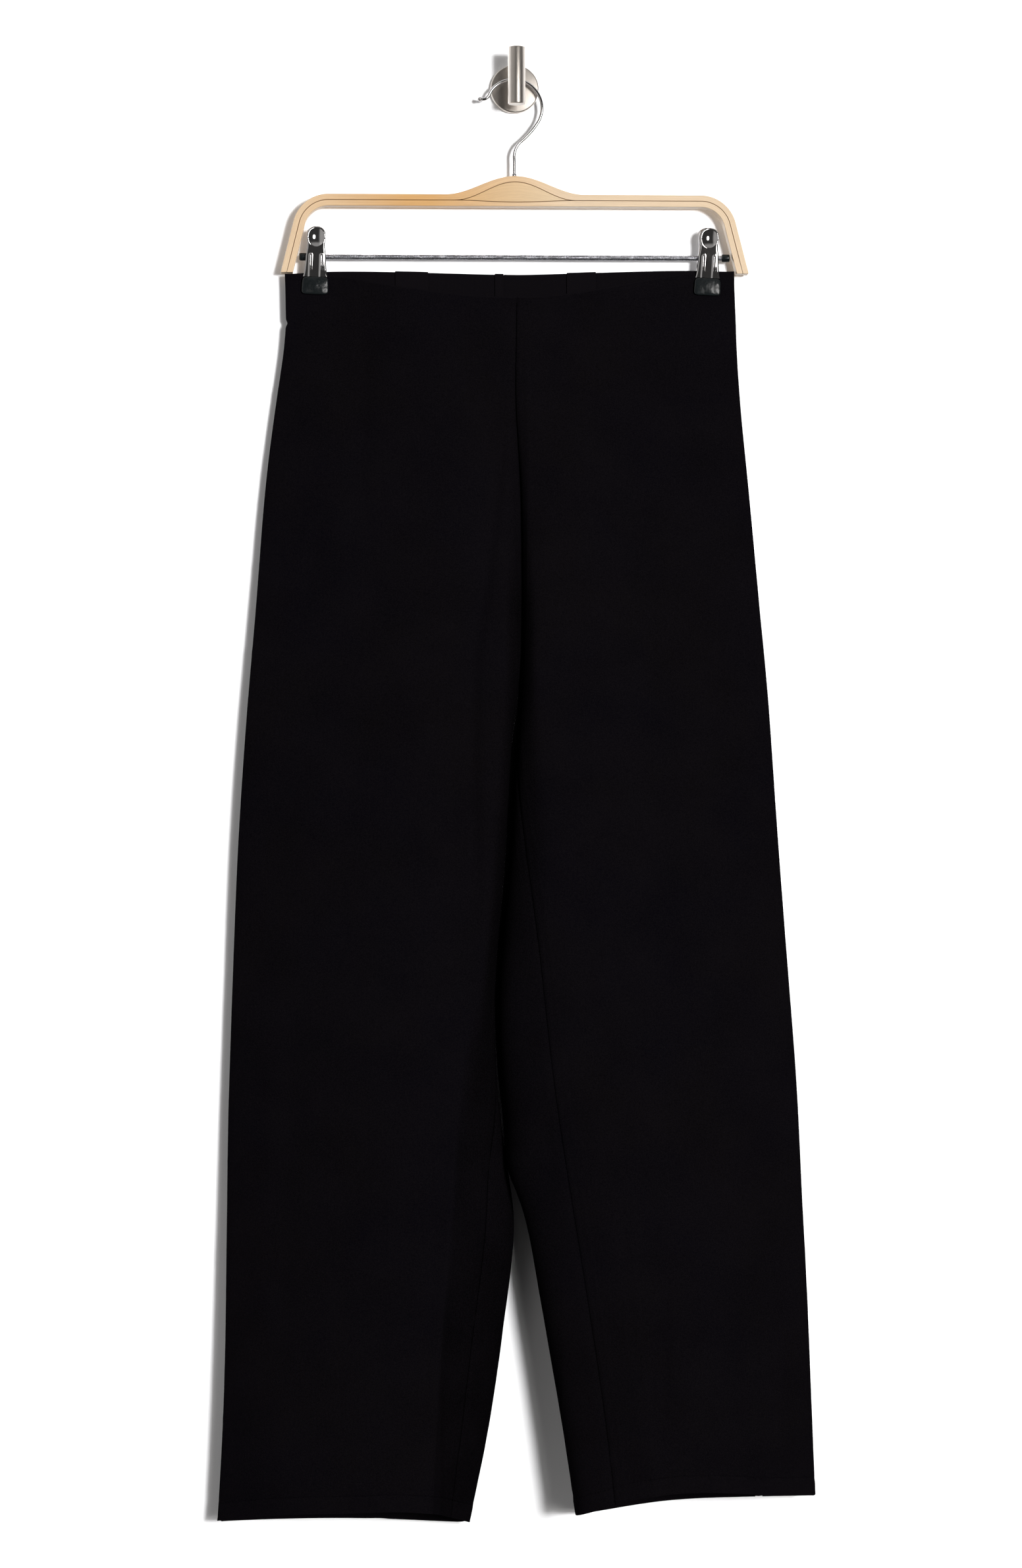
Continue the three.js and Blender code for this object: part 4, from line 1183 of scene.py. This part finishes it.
class PANTS_OT_stage(bpy.types.Operator):
    """Sets up the wall, the floor, the lights and the camera"""

    bl_idname = "pants.stage"
    bl_label = "Stage"

    def execute(self, context):
        scene = context.scene
        settings = scene.pants_stage
        colour = tuple(settings.wall)
        wall, finish = stage_plane("wall", WALL_MIDDLE, (math.pi / 2, 0, 0), colour)
        see_through_from_behind(finish)
        wall.visible_shadow = False
        floor, _ = stage_plane("floor", FLOOR_MIDDLE, (0, 0, 0), colour)
        floor.visible_glossy = False
        floor.visible_diffuse = False
        for name, place, size, power, mirrored in LIGHTS:
            light = area_light(name, place, LIT_POINT, size, getattr(settings, power))
            light.visible_glossy = mirrored
        self.room(scene, settings)
        self.camera(scene)
        scene.view_settings.view_transform = "Standard"
        scene.view_settings.look = "None"
        return {"FINISHED"}

    def camera(self, scene):
        data = bpy.data.cameras.new("camera")
        data.sensor_width = 36
        data.lens = CAMERA_LENS
        data.clip_start, data.clip_end = 0.05, 60
        camera = bpy.data.objects.new("camera", data)
        scene.collection.objects.link(camera)
        camera.location = CAMERA_PLACE
        camera.rotation_euler = (math.pi / 2, 0, CAMERA_TURN)
        scene.camera = camera

    def room(self, scene, settings):
        """A dim room with a pale left wall, a pale ceiling and a window, as the bright metal mirrors it."""
        world = bpy.data.worlds.new("room")
        scene.world = world
        world.use_nodes = True
        tree = world.node_tree
        add, link = tree.nodes.new, tree.links.new
        background = next(n for n in tree.nodes if n.type == "BACKGROUND")
        background.inputs["Color"].default_value = (1.0, 0.98, 0.96, 1)
        place = add("ShaderNodeTexCoord")
        apart = add("ShaderNodeSeparateXYZ")
        link(place.outputs["Generated"], apart.inputs[0])
        window = add("ShaderNodeVectorMath")
        window.operation = "DOT_PRODUCT"
        window.inputs[1].default_value = Vector(WINDOW_DIRECTION).normalized()
        link(place.outputs["Generated"], window.inputs[0])
        strength = add("ShaderNodeValue").outputs[0]
        strength.default_value = settings.dim
        for output, start, end, brightness in (
            (apart.outputs["X"], -0.3, -0.6, settings.room),
            (apart.outputs["Z"], 0.35, 0.65, settings.ceiling),
            (window.outputs["Value"], 0.982, 0.993, settings.window),
        ):
            level = add("ShaderNodeMapRange")
            level.interpolation_type = "SMOOTHSTEP"
            for name, value in (("From Min", start), ("From Max", end), ("To Min", 0), ("To Max", brightness)):
                level.inputs[name].default_value = value
            link(output, level.inputs["Value"])
            total = add("ShaderNodeMath")
            link(level.outputs["Result"], total.inputs[0])
            link(strength, total.inputs[1])
            strength = total.outputs[0]
        link(strength, background.inputs["Strength"])


class PANTS_PT_panel(bpy.types.Panel):
    """Lists the pieces of the pants and their holder"""

    bl_idname = "PANTS_PT_panel"
    bl_label = "Pants"
    bl_space_type = "VIEW_3D"
    bl_region_type = "UI"
    bl_category = "Pants"

    def draw(self, context):
        scene = context.scene
        for group in (scene.pants_knit, scene.pants_hanger, scene.pants_metal, scene.pants_stage):
            box = self.layout.box()
            for name in group.bl_rna.properties.keys():
                if name not in ("rna_type", "name"):
                    box.prop(group, name)
        for operator in OPERATORS:
            self.layout.operator(operator.bl_idname)


GROUPS = {
    "pants_knit": KnitSettings,
    "pants_hanger": HangerSettings,
    "pants_metal": MetalSettings,
    "pants_stage": StageSettings,
}
OPERATORS = [
    PANTS_OT_cloth_panels,
    PANTS_OT_waist_facing,
    PANTS_OT_wood_hanger,
    PANTS_OT_wire_hook,
    PANTS_OT_clip_bar,
    PANTS_OT_clips,
    PANTS_OT_wall_hook,
    PANTS_OT_stage,
]
CLASSES = [*GROUPS.values(), *OPERATORS, PANTS_PT_panel]


def register():
    for cls in CLASSES:
        bpy.utils.register_class(cls)
    for name, group in GROUPS.items():
        setattr(bpy.types.Scene, name, PointerProperty(type=group))


def unregister():
    for name in GROUPS:
        delattr(bpy.types.Scene, name)
    for cls in reversed(CLASSES):
        bpy.utils.unregister_class(cls)


def main():
    register()
    for operator in OPERATORS:
        getattr(bpy.ops.pants, operator.bl_idname.split(".")[1])()


if __name__ == "__main__":
    main()
